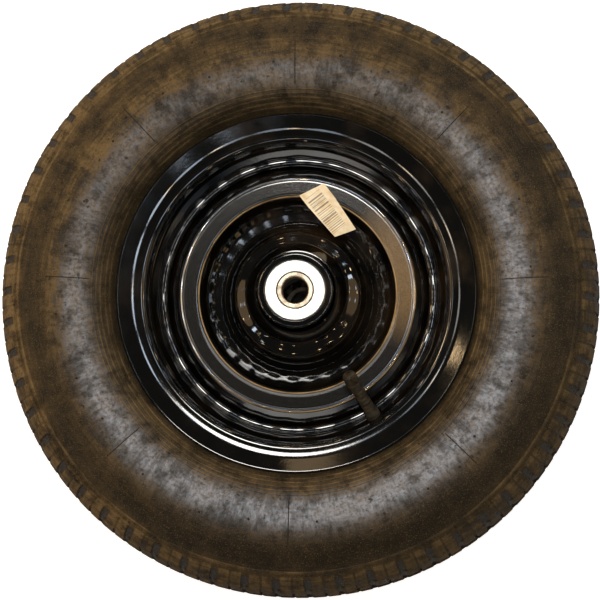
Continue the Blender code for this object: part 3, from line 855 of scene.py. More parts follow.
def nearness(value: float, centre: float, reach: float) -> float:
    """Bell curve: 1 at its centre and about a third at its reach."""
    return math.exp(-((value - centre) / reach) ** 2)


def toward(angle: float, degrees: float) -> float:
    """1 on the side that the degrees name, 0 opposite."""
    return 0.5 + 0.5 * math.cos(angle - math.radians(degrees))


@dataclass(frozen=True)
class Waves:
    """Uneven wave round the axle line: one that drifts in pace and a weaker, slower one."""

    count: int
    drift: float
    slow_count: int
    slow_share: float
    slow_start: float
    drifts: int = 3

    def at(self, angle: float) -> float:
        """Height of the wave at an angle, where 1 is the crest of the first wave alone."""
        first = math.sin(self.count * angle + self.drift * math.sin(self.drifts * angle))
        return first + self.slow_share * math.sin(self.slow_count * angle + self.slow_start)


@dataclass(frozen=True)
class Sway:
    """Unevenness along a row of like things: a sine of each one's number."""

    size: float
    pace: float
    start: float = 0.0

    def at(self, number: int) -> float:
        """What the sway adds for the thing with this number."""
        return self.size * math.sin(self.pace * number + self.start)


@dataclass(frozen=True)
class DustAndSheenFilm:
    """Where dust, pale dust and the painted sheen lie on the tyre.

    The amounts are those of the dust at the radii of the marks. A side is the angle in degrees
    at which its effect is strongest.
    """

    ribs: tuple[float, ...]
    lines: tuple[float, ...]
    marks: tuple[float, ...] = (
        0.118, 0.124, 0.132, 0.140, 0.150, 0.157, 0.163, 0.169, 0.176, 0.182, 0.187, 0.196, 0.201,
    )
    amounts: tuple[float, ...] = (
        0.44, 0.56, 0.64, 0.44, 0.46, 0.84, 0.90, 0.58, 0.34, 0.60, 0.90, 1.00, 0.85,
    )
    outer: Row = (0.150, 0.170)
    dust_and_light_side: float = 150.0
    outer_loss: float = 0.72
    outer_power: float = 1.1
    wiped: Row = (0.146, 0.154)
    wiped_end: Row = (0.181, 0.185)
    wiped_end_share: float = 0.7
    wiped_side: float = 255.0
    wiped_loss: float = 0.60
    inner: Row = (0.128, 0.140)
    inner_side: float = 115.0
    inner_loss: float = 0.55
    bloom_radius: float = 0.1455
    bloom_reach: float = 0.0092
    bloom_side: float = 295.0
    bloom_least: float = 0.33
    bloom_more: float = 0.84
    crest_reach: float = 0.0005
    rib_margin: float = 0.0012
    between_ribs: float = 0.45
    on_ribs: float = 1.3
    line_reach: float = 0.0007
    line_rub: float = 0.5
    edge_highlight: float = 0.35
    rub_dust: float = 0.6
    shaded_floor_dust: float = 0.12
    pale_least: float = 0.12
    pale_on_ribs: float = 0.5

    def shares(self, radius: float, angle: float, deep: bool, edge: bool) -> tuple[float, float, float]:
        """Dust, pale dust and painted sheen at a place on the tyre.

        Args:
            radius: Distance from the axle line.
            angle: Angle round the axle line.
            deep: Whether the place is a notch's or slit's floor, where the dust is mostly taken off as
                painted shade.
            edge: Whether the place is a tread block's edge, whose dust is made paler as a painted highlight.

        Returns:
            The three shares, each from 0 to about 1.
        """
        dust = float(np.interp(radius, self.marks, self.amounts))
        # Dust thins away from the upper left: partly dust, partly painted light that makes the upper-left
        # side lighter.
        away = (1.0 - toward(angle, self.dust_and_light_side)) ** self.outer_power
        dust *= 1.0 - share_of(radius, self.outer) * self.outer_loss * away
        wiped = share_of(radius, self.wiped) - self.wiped_end_share * share_of(radius, self.wiped_end)
        dust *= 1.0 - self.wiped_loss * wiped * toward(angle, self.wiped_side) ** 2
        inner = 1.0 - share_of(radius, self.inner)
        dust *= 1.0 - self.inner_loss * inner * toward(angle, self.inner_side)
        # Painted sheen: a band round the sidewall's bulge, brighter toward the lower right.
        bloom = self.bloom_least + self.bloom_more * toward(angle, self.bloom_side)
        bloom *= nearness(radius, self.bloom_radius, self.bloom_reach)
        crest = max(nearness(radius, rib, self.crest_reach) for rib in self.ribs)
        if radius < self.ribs[-1] + self.rib_margin:
            dust *= self.between_ribs + self.on_ribs * crest
        # Rubbed lines add pale dust; tread block edges get paler dust as a painted highlight.
        line = max(nearness(radius, spot, self.line_reach) for spot in self.lines)
        rubbed_and_lit = self.line_rub * line + (self.edge_highlight if edge else 0.0)
        dust = min(1.0, dust + self.rub_dust * rubbed_and_lit)
        # Painted shade: notch and slit floors lose most of their dust and show the dark bare rubber.
        if deep:
            dust *= self.shaded_floor_dust
        return dust, self.pale_least + self.pale_on_ribs * crest + rubbed_and_lit, bloom


@dataclass
class Tyre:
    """Air tyre: grooved crown, notched shoulders, bulged sidewalls with fine ribs."""

    crown_top: float = 0.1994
    crown_radius: float = 0.0640
    crown_flat: float = 0.0003
    centre_rib: float = 0.0060
    centre_heights: tuple[float, ...] = (0.0, 0.003, 0.0056)
    groove_end: float = 0.0105
    groove_depth: float = 0.0034
    groove_round: float = 0.0004
    groove_wall: float = 0.0007
    groove_foot: float = 0.0013
    crown_heights: tuple[float, ...] = (
        0.0109, 0.0145, 0.0180, 0.0208, 0.0213, 0.0219, 0.0225, 0.0245, 0.0265, 0.0285, 0.0305, 0.0322,
    )
    notch_start: float = 0.0216
    notch_floor_start: float = 0.1950
    notch_end: float = 0.0356
    notch_floor_end: float = 0.1882
    tread_edge: float = 0.0330
    notch_count: int = 58
    shoulder_radius: float = 0.1843
    shoulder_height: float = 0.0385
    shoulder_shares: tuple[float, ...] = (0.0, 0.16, 0.34, 0.47, 0.60, 0.78, 0.92)
    shoulder_lip: tuple[Row, ...] = ((0.0001, 0.0002), (-0.0003, 0.0008), (-0.0009, 0.0007))
    shoulder_foot: float = 0.0012
    outer_power: float = 2.25
    inner_power: float = 2.5
    wall_start: float = 0.0035
    wall_end: float = 0.0020
    wall_step: float = 0.0028
    widest_radius: float = 0.1485
    half_width: float = 0.0507
    lip_radius: float = 0.1201
    lip_height: float = 0.0376
    rib_radii: tuple[float, ...] = (0.1229, 0.1255, 0.1286, 0.1312, 0.1338)
    rib_rise: float = 0.00060
    rib_half_width: float = 0.00060
    rib_profile: tuple[Row, ...] = ((1.0, 0.0), (0.45, 1.0), (-0.45, 1.0), (-1.0, 0.0))
    lip_start: float = 0.0006
    lip_drop: float = 0.0002
    brown_line: float = 0.1795
    block_start: float = 0.1870
    slit_end: float = 0.0216
    slit_depth: float = 0.0012
    slit_margin: float = 0.0002
    sunk_depth: float = 0.0004

    def crown(self, height: float) -> float:
        """Radius of the crown at a height from the middle plane."""
        full = math.sqrt(self.crown_radius ** 2 - height ** 2)
        return min(self.crown_top, self.crown_top + self.crown_flat - self.crown_radius + full)

    def wall_height(self, radius: float) -> float:
        """Height of the bare sidewall at a radius between the lip and the shoulder line."""
        if radius > self.widest_radius:
            share = (radius - self.widest_radius) / (self.shoulder_radius - self.widest_radius)
            return self.half_width - (self.half_width - self.shoulder_height) * share ** self.outer_power
        share = (self.widest_radius - radius) / (self.widest_radius - self.lip_radius)
        return self.half_width - (self.half_width - self.lip_height) * share ** self.inner_power

    def outer_rows(self) -> list[Row]:
        """Outside of half the tyre from the crown's middle to the rim's lip."""
        rows = [(self.crown_top, height) for height in self.centre_heights]
        floor, brim = self.crown_top - self.groove_depth, self.groove_round
        rows.append((self.crown_top - brim, self.centre_rib))
        rows.append((floor + brim, self.centre_rib + self.groove_wall))
        rows.append((floor, self.centre_rib + self.groove_foot))
        rows.append((floor, self.groove_end - self.groove_foot))
        rows.append((floor + brim, self.groove_end - self.groove_wall))
        rows.append((self.crown(self.groove_end) - brim, self.groove_end))
        rows += [(self.crown(height), height) for height in self.crown_heights]
        edge, top = self.crown(self.tread_edge), self.shoulder_radius
        drop = self.shoulder_height - self.tread_edge
        for share in self.shoulder_shares:
            rows.append((edge + (top - edge) * share, self.tread_edge + drop * share))
        rows += [(top + outward, self.shoulder_height + rise) for outward, rise in self.shoulder_lip]
        rows.append((top - self.shoulder_foot, self.wall_height(top - self.shoulder_foot)))
        radius = top - self.wall_start
        while radius > self.rib_radii[-1] + self.wall_end:
            rows.append((radius, self.wall_height(radius)))
            radius -= self.wall_step
        for rib in reversed(self.rib_radii):
            for offset, rise in self.rib_profile:
                spot = rib + offset * self.rib_half_width
                rows.append((spot, self.wall_height(spot) + rise * self.rib_rise))
        start = self.lip_radius + self.lip_start
        rows.append((start, self.wall_height(start)))
        rows.append((self.lip_radius, self.lip_height - self.lip_drop))
        return rows

    def hidden_rows(self) -> list[Row]:
        """Bead and inside of half the tyre, from the rim's lip to the middle plane."""
        return [
            (0.1158, 0.0352), (0.1090, 0.0327), (0.1062, 0.0322), (0.1032, 0.0302), (0.1022, 0.0265),
            (0.1020, 0.0227), (0.1062, 0.0209), (0.1222, 0.0320), (0.1380, 0.0420), (0.1540, 0.0455),
            (0.1700, 0.0415), (0.1800, 0.0340), (0.1880, 0.0200), (0.1905, 0.0080), (0.1908, 0.0),
        ]

    def stations(self) -> list[tuple[float, bool, bool]]:
        """Angles round the tyre, each with whether it is in a notch and whether in a slit."""
        pitch = 2 * math.pi / self.notch_count
        lug = [(0.0, False, False), (0.30, False, False), (0.325, False, True), (0.375, False, True)]
        lug += [(0.40, False, False), (0.70, False, False)]
        notch = [(0.735, True, False), (0.775, True, True), (0.83, True, True), (0.93, True, False)]
        return [(pitch * (index + share), deep, slit)
                for index in range(self.notch_count) for share, deep, slit in lug + notch]

    def slit_radius(self, radius: float, height: float) -> float:
        """Radius of a slit's floor at a height, or the tyre's own radius beside it."""
        if height > self.slit_end or radius < self.crown(height) - self.slit_margin:
            return radius
        return radius - self.slit_depth

    def notch_radius(self, radius: float, height: float) -> float:
        """Radius of a notch's floor at a height, or the tyre's own radius beside it."""
        if height < self.notch_start or height > self.notch_end:
            return radius
        share = (height - self.notch_start) / (self.notch_end - self.notch_start)
        floor = self.notch_floor_start + (self.notch_floor_end - self.notch_floor_start) * share
        return min(radius, floor)

    def carcass(self) -> bpy.types.Object:
        """Build the tyre itself with the dust, painted sheen, painted highlights and painted shade that it
        carries.

        Returns:
            The tyre.
        """
        half = self.outer_rows() + self.hidden_rows()
        seen = len(self.outer_rows())
        rows = [(r, h, index < seen) for index, (r, h) in enumerate(half)]
        lower = [(r, -h, outside) for r, h, outside in rows[1:-1]]
        loop = rows + lower[::-1]
        stations = self.stations()
        film = DustAndSheenFilm(self.rib_radii, (self.brown_line, self.shoulder_radius))
        places, dusts_and_sheen = [], []
        for radius, height, outside in loop:
            for angle, deep, slit in stations:
                reach = radius
                if outside and slit and radius > self.shoulder_radius:
                    reach = self.slit_radius(reach, abs(height))
                if outside and deep and radius > self.shoulder_radius:
                    reach = self.notch_radius(reach, abs(height))
                places.append((reach * math.cos(angle), reach * math.sin(angle), height))
                sunk = reach < radius - self.sunk_depth
                edge = outside and radius > self.block_start and not (deep or slit)
                dusts_and_sheen.append(film.shares(reach, angle, sunk, edge))
        count, around = len(loop), len(stations)
        faces = []
        for row in range(count):
            first, second = row * around, ((row + 1) % count) * around
            for k in range(around):
                after = (k + 1) % around
                faces.append((first + k, first + after, second + after, second + k))
        mesh = bpy.data.meshes.new("tyre_carcass")
        mesh.from_pydata(places, [], faces)
        bm = bmesh.new()
        bm.from_mesh(mesh)
        bpy.data.meshes.remove(mesh)
        piece = settle("tyre_carcass", bm, 40.0)
        for name, column in zip(("dust", "pale", "bloom"), zip(*dusts_and_sheen)):
            layer = piece.data.attributes.new(name, "FLOAT", "POINT")
            layer.data.foreach_set("value", np.array(column, dtype=np.float32))
        return piece

    def build(self) -> None:
        """Build and dress the tyre."""
        rubber = TyreRubber().material()
        place(self.carcass(), rubber, "wheel", "tyre_rubber", "tyre")
        for side in Side:
            MouldMarks(side, self).build(rubber)


@dataclass
class MouldMarks:
    """Raised marks that the mould leaves on a sidewall: seams, vent pips and ticks."""

    side: Side
    tyre: Tyre
    seam_degrees: tuple[float, ...] = (-44.0, -91.6, -138.6, 176.4, 133.0, 90.0, 46.6, 2.6)
    seam_inner: float = 0.1355
    seam_outer: float = 0.1660
    seam_half_width: float = 0.00052
    seam_rise: float = 0.00024
    ridge_step: float = 0.0022
    ridge_top: float = 0.35
    ridge_root: float = -0.0003
    pip_radius: float = 0.00085
    pip_count: int = 24
    pip_sides: int = 10
    pip_inner: float = 0.1545
    pip_wander: Sway = Sway(0.0035, 1.7)
    pip_start: float = 0.35
    pip_sway: Sway = Sway(0.12, 2.1)
    pip_profile: tuple[Row, ...] = ((1.0, -0.0004), (1.0, 0.00012), (0.72, 0.000208), (0.35, 0.00026))
    tick_start: float = 0.3
    tick_gap: int = 3
    tick_radius: float = 0.1790
    tick_length: float = 0.0022
    tick_half_width: float = 0.00022
    tick_rise: float = 0.00015
    thin_dust: float = 0.10

    def spot(self, radius: float, angle: float, rise: float) -> Vector:
        """Place on the sidewall.

        Args:
            radius: Distance from the axle line.
            angle: Angle round the axle line.
            rise: Height above the sidewall.

        Returns:
            The place in the wheel's frame.
        """
        height = self.side.value * (self.tyre.wall_height(radius) + rise)
        return Vector((radius * math.cos(angle), radius * math.sin(angle), height))

    def ridge(self, bm: bmesh.types.BMesh, angle: float, inner: float, outer: float, half_width: float,
              rise: float) -> None:
        """Add one ridge that runs outward along the sidewall.

        Args:
            bm: Mesh under construction.
            angle: Angle of the ridge round the axle line.
            inner: Where it starts.
            outer: Where it ends.
            half_width: Half of its width.
            rise: Height of its crest.
        """
        steps = max(2, round((outer - inner) / self.ridge_step))
        rows = []
        for step in range(steps + 1):
            radius = inner + (outer - inner) * step / steps
            crest = rise if 0 < step < steps else 0.0
            bend, root, top = half_width / radius, self.ridge_root, self.ridge_top
            profile = ((-1.0, root), (-top, crest), (top, crest), (1.0, root))
            spots = [self.spot(radius, angle + side * bend, high) for side, high in profile]
            rows.append([bm.verts.new(spot) for spot in spots])
        for first, second in zip(rows, rows[1:]):
            for k in range(4):
                bm.faces.new((first[k - 1], first[k], second[k], second[k - 1]))
        bm.faces.new(rows[0])
        bm.faces.new(rows[-1])

    def pip(self, bm: bmesh.types.BMesh, radius: float, angle: float) -> None:
        """Add one round vent pip.

        Args:
            bm: Mesh under construction.
            radius: Distance from the axle line.
            angle: Angle round the axle line.
        """
        middle = self.spot(radius, angle, 0.0)
        turns = [2 * math.pi * k / self.pip_sides for k in range(self.pip_sides)]
        rings = []
        for share, high in self.pip_profile:
            wide, rise = self.pip_radius * share, self.side.value * high
            round_spots = [middle + Vector((wide * math.cos(t), wide * math.sin(t), rise)) for t in turns]
            rings.append([bm.verts.new(spot) for spot in round_spots])
        for first, second in zip(rings, rings[1:]):
            for k in range(self.pip_sides):
                bm.faces.new((first[k - 1], first[k], second[k], second[k - 1]))
        bm.faces.new(rings[0])
        bm.faces.new(rings[-1])

    def build(self, rubber: bpy.types.Material) -> None:
        """Build and dress the marks.

        Args:
            rubber: Finish of the tyre.
        """
        bm = bmesh.new()
        for degrees in self.seam_degrees:
            self.ridge(bm, math.radians(degrees), self.seam_inner, self.seam_outer,
                       self.seam_half_width, self.seam_rise)
        for index in range(self.pip_count):
            place_in_row = index + self.pip_start + self.pip_sway.at(index)
            angle = 2 * math.pi * place_in_row / self.pip_count
            self.pip(bm, self.pip_inner + self.pip_wander.at(index), angle)
        for index in range(self.tyre.notch_count):
            angle = 2 * math.pi * (index + self.tick_start) / self.tyre.notch_count
            if index % self.tick_gap:
                self.ridge(bm, angle, self.tick_radius, self.tick_radius + self.tick_length,
                           self.tick_half_width, self.tick_rise)
        marks = settle(self.side.word + "_mould_marks", bm, 50.0)
        layer = marks.data.attributes.new("dust", "FLOAT", "POINT")
        layer.data.foreach_set("value", np.full(len(marks.data.vertices), self.thin_dust, dtype=np.float32))
        place(marks, rubber, "wheel", "tyre_rubber")


@dataclass
class Rim:
    """Rolled drop-centre rim with the valve's hole."""

    sheet: float = 0.0018
    lip_radius: float = 0.1190
    lip_half_width: float = 0.0385
    flange_run: float = 0.0120
    flange_knee: float = 0.0250
    flange_height: float = 0.0342
    seat_mid: float = 0.1005
    seat_end: float = 0.0242
    seat_corner: float = 0.0045
    well_mid: float = 0.0891
    well_half_width: float = 0.0100
    slope_round: float = 0.0140
    hole_radius: float = 0.0057
    hole_reach: float = 0.0050
    segments: int = 288
    hole_segments: int = 40

    def path(self) -> list[Vector]:
        """Middle line of the rim from one lip to the other."""
        half = [
            (self.lip_radius, self.lip_half_width, 0.0),
            (self.lip_radius - self.flange_run, self.flange_height, self.flange_knee),
            (self.seat_mid, self.flange_height, self.seat_corner),
            (self.seat_mid, self.seat_end, self.slope_round),
            (self.well_mid, self.well_half_width, self.slope_round),
        ]
        other = [(radius, -height, fillet) for radius, height, fillet in reversed(half)]
        return fillet_path(half + other)

    def build(self, paint: bpy.types.Material, valve: "Valve") -> None:
        """Build and dress the rim.

        Args:
            paint: Finish of the rim.
            valve: Valve whose stem passes through the rim.
        """
        piece = settle("rolled_rim", lathe(sheet_section(self.path(), self.sheet), self.segments))
        wide, reach = self.hole_radius, self.hole_reach
        outline = [Vector((0.0, -reach)), Vector((wide, -reach)), Vector((wide, reach)), Vector((0.0, reach))]
        punch = settle("valve_punch", lathe(outline, self.hole_segments, closed=False))
        punch.matrix_world = valve.matrix()
        hole = piece.modifiers.new("hole", "BOOLEAN")
        hole.operation, hole.solver, hole.object = "DIFFERENCE", "EXACT", punch
        shaped = bpy.data.meshes.new_from_object(piece.evaluated_get(bpy.context.evaluated_depsgraph_get()))
        piece.modifiers.clear()
        piece.data = shaped
        shaped.name = "rolled_rim"
        bpy.data.objects.remove(punch)
        place(piece, paint, "wheel", "black_paint", "rim_barrel")


@dataclass
class Disc:
    """Pressed disc of one side: weld flange, crown, valley, dome and collar."""

    side: Side
    sheet: float = 0.0020
    flange_mid: float = 0.0869
    flange_start: float = 0.0010
    flange_end: float = 0.0105
    crown_outer: float = 0.0770
    crown_inner: float = 0.0655
    crown_mid: float = 0.0240
    crown_edge: float = 0.0042
    crown_lip: float = 0.0030
    valley_wall: tuple[float, float, float] = (0.0629, 0.0128, 0.0070)
    valley_slope: tuple[float, float, float] = (0.0570, 0.0096, 0.0180)
    valley_heel: tuple[float, float, float] = (0.0487, 0.0069, 0.0012)
    fold: float = 0.0100
    ripple: float = 0.00013
    ripple_waves: Waves = Waves(28, 0.5, 17, 0.25, 0.7)
    ripple_inner: float = 0.0540
    ripple_outer: float = 0.0630
    dome_foot: tuple[float, float, float] = (0.0455, 0.0175, 0.0070)
    dome_brow: tuple[float, float, float] = (0.0405, 0.0245, 0.0140)
    flare_radius: float = 0.0330
    flare_height: float = 0.0285
    flare_corner: float = 0.0080
    collar_mid: float = 0.0263
    collar_height: float = 0.0390
    segments: int = 256

    def path(self) -> list[Vector]:
        """Middle line of the disc from its weld flange to its collar."""
        return fillet_path([
            (self.flange_mid, self.flange_start, 0.0),
            (self.flange_mid, self.flange_end, self.fold),
            (self.crown_outer, self.crown_mid, self.crown_edge),
            (self.crown_inner, self.crown_mid, self.crown_lip),
            self.valley_wall,
            self.valley_slope,
            self.valley_heel,
            self.dome_foot,
            self.dome_brow,
            (self.flare_radius, self.flare_height, self.flare_corner),
            (self.collar_mid, self.collar_height, 0.0),
        ])

    def ripple_at(self, radius: float, angle: float) -> float:
        """Rise of the pressing's faint ripples, which run round the valley.

        Args:
            radius: Distance from the axle line.
            angle: Angle round the axle line.

        Returns:
            The rise.
        """
        middle = (self.ripple_inner + self.ripple_outer) / 2
        reach = (self.ripple_outer - self.ripple_inner) / 2
        fade = max(0.0, 1.0 - ((radius - middle) / reach) ** 2)
        return self.ripple * self.ripple_waves.at(angle) * fade

    def build(self, paint: bpy.types.Material) -> None:
        """Build and dress the disc.

        Args:
            paint: Finish of the disc.
        """
        section = sheet_section(self.path(), self.sheet)
        if self.side is Side.REAR:
            section = mirrored(section)
        bm = lathe(section, self.segments)
        for vert in bm.verts:
            vert.co.z += self.ripple_at(vert.co.xy.length, math.atan2(vert.co.y, vert.co.x))
        piece = settle(self.side.word + "_pressed_disc", bm)
        place(piece, paint, "wheel", "black_paint", self.side.word + "_disc")


@dataclass
class WeldBead:
    """Rounded bead that joins a disc to the rim, uneven along its run."""

    side: Side
    radius: float = 0.0899
    height: float = 0.0146
    half_width: float = 0.0034
    rise: float = 0.0027
    unevenness: float = 0.00026
    waves: Waves = Waves(26, 1.2, 15, 0.35, 2.0)
    segments: int = 720
    around: int = 16

    def build(self, paint: bpy.types.Material) -> None:
        """Build and dress the bead.

        Args:
            paint: Finish of the bead.
        """
        turns = [2 * math.pi * k / self.around for k in range(self.around)]
        middle = Vector((self.radius, self.height))
        section = [middle + Vector((self.half_width * math.cos(t), self.rise * math.sin(t))) for t in turns]
        if self.side is Side.REAR:
            section = mirrored(section)
        bm = lathe(section, self.segments)
        for vert in bm.verts:
            wave = self.waves.at(math.atan2(vert.co.y, vert.co.x))
            vert.co.z += self.side.value * self.unevenness * wave
        place(settle(self.side.word + "_weld_bead", bm), paint, "wheel", "black_paint")


@dataclass
class HubTube:
    """Tube between the discs, bored at each end for its bearing."""

    radius: float = 0.0250
    edge: float = 0.0016
    seat_radius: float = 0.0203
    stop_radius: float = 0.0191
    half_length: float = 0.0491
    stop_height: float = 0.0372
    stop_edge: float = 0.0001
    mouth_edge: float = 0.0004
    segments: int = 144

    def build(self, paint: bpy.types.Material) -> None:
        """Build and dress the tube.

        Args:
            paint: Finish of the tube.
        """
        half = fillet_path([
            (self.stop_radius, 0.0, 0.0),
            (self.stop_radius, self.stop_height, self.stop_edge),
            (self.seat_radius, self.stop_height, self.stop_edge),
            (self.seat_radius, self.half_length, self.mouth_edge),
            (self.radius, self.half_length, self.edge),
            (self.radius, 0.0, 0.0),
        ])
        section = half[1:] + mirrored(half[1:-1])[::-1]
        piece = settle("hub_barrel", lathe(section, self.segments))
        place(piece, paint, "wheel", "black_paint", "hub_tube")


@dataclass
class Bearing:
    """Ball bearing of one side: outer ring, shield and inner ring around the balls."""

    side: Side
    face: float = 0.0495
    width: float = 0.0120
    bore: float = 0.0085
    outside: float = 0.0200
    inner_land: float = 0.0118
    outer_land: float = 0.0165
    groove: float = 0.003675
    ball_circle: float = 0.01415
    shield_radius: float = 0.0170
    shield_gap: float = 0.00008
    shield_seat: float = 0.0011
    shield_hole_gap: float = 0.0006
    shield_depth: float = 0.0006
    shield_sunk: float = 0.00002
    shield_inner_edge: float = 0.0002
    shield_outer_edge: float = 0.00002
    edge: float = 0.0006
    bore_edge: float = 0.0011
    land_edge: float = 0.0003
    balls: int = 8
    track_steps: int = 10
    segments: int = 160

    def middle(self) -> float:
        """Height of the bearing's middle plane."""
        return self.side.value * (self.face - self.width / 2)

    def groove_arc(self, way: int) -> list[Vector]:
        """Ball track in a ring, seen from the bearing's middle.

        Args:
            way: 1 for the outer ring and -1 for the inner ring.

        Returns:
            Points of the track from its outer to its inner edge.
        """
        land = self.outer_land if way > 0 else self.inner_land
        half = math.acos(min(1.0, abs(land - self.ball_circle) / self.groove))
        turns = [half * (1.0 - 2.0 * k / self.track_steps) for k in range(self.track_steps + 1)]
        middle, reach = Vector((self.ball_circle, 0.0)), self.groove
        return [middle + Vector((way * reach * math.cos(t), reach * math.sin(t))) for t in turns]

    def turned(self, name: str, section: list[Vector]) -> bpy.types.Object:
        """Revolve a section and set it at the bearing's height, its shield side out."""
        way = self.side.value
        moved = [Vector((spot[0], self.middle() + way * spot[1])) for spot in section]
        return settle(self.side.word + name, lathe(moved, self.segments))

    def build(self, ring: bpy.types.Material, inner: bpy.types.Material, shield: bpy.types.Material) -> None:
        """Build and dress the rings and the shield.

        Args:
            ring: Finish of the outer ring.
            inner: Finish of the inner ring.
            shield: Finish of the shield.
        """
        word = self.side.word
        outer = self.turned("_bearing_outer", self.outer_section())
        place(outer, ring, "wheel", "bearing_steel", word + "_outer_ring")
        turning = self.turned("_bearing_inner", self.inner_section())
        place(turning, inner, word + "_race", "bearing_steel", word + "_inner_ring")
        cover = self.turned("_bearing_shield", self.shield_section())
        place(cover, shield, "wheel", "shield_steel", word + "_shield")
        for node in [word + "_ball_cage"] + ["%s_ball_%d" % (word, k + 1) for k in range(self.balls)]:
            dress(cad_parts[node], inner)

    def outer_section(self) -> list[Vector]:
        """Outline of the outer ring about the bearing's middle, with its shield's seat."""
        half, lip = self.width / 2, self.shield_radius + self.shield_gap
        return [
            Vector((self.outside, -half + self.edge)), Vector((self.outside, half - self.edge)),
            Vector((self.outside - self.edge, half)), Vector((lip, half)),
            Vector((lip, half - self.shield_seat)), Vector((self.outer_land, half - self.shield_seat)),
            *self.groove_arc(1), Vector((self.outer_land, -half)), Vector((self.outside - self.edge, -half)),
        ]

    def inner_section(self) -> list[Vector]:
        """Outline of the inner ring about the bearing's middle, with its round bore edge."""
        half, land, bore, turn = self.width / 2, self.inner_land, self.bore, self.bore_edge
        return [
            Vector((bore + 0.5 * turn, half - 0.15 * turn)), Vector((bore + turn, half)),
            Vector((land - self.land_edge, half)), Vector((land, half - self.land_edge)),
            *self.groove_arc(-1), Vector((land, -half)), Vector((bore + self.edge, -half)),
            Vector((bore, self.edge - half)), Vector((bore, half - turn)),
            Vector((bore + 0.15 * turn, half - 0.5 * turn)),
        ]

    def shield_section(self) -> list[Vector]:
        """Outline of the shield about the bearing's middle, open below."""
        top = self.width / 2 - self.shield_sunk
        hole, foot = self.inner_land + self.shield_hole_gap, top - self.shield_depth
        return fillet_path([
            (hole, foot, 0.0),
            (hole, top, self.shield_inner_edge),
            (self.shield_radius, top, self.shield_outer_edge),
            (self.shield_radius, foot, 0.0),
        ])


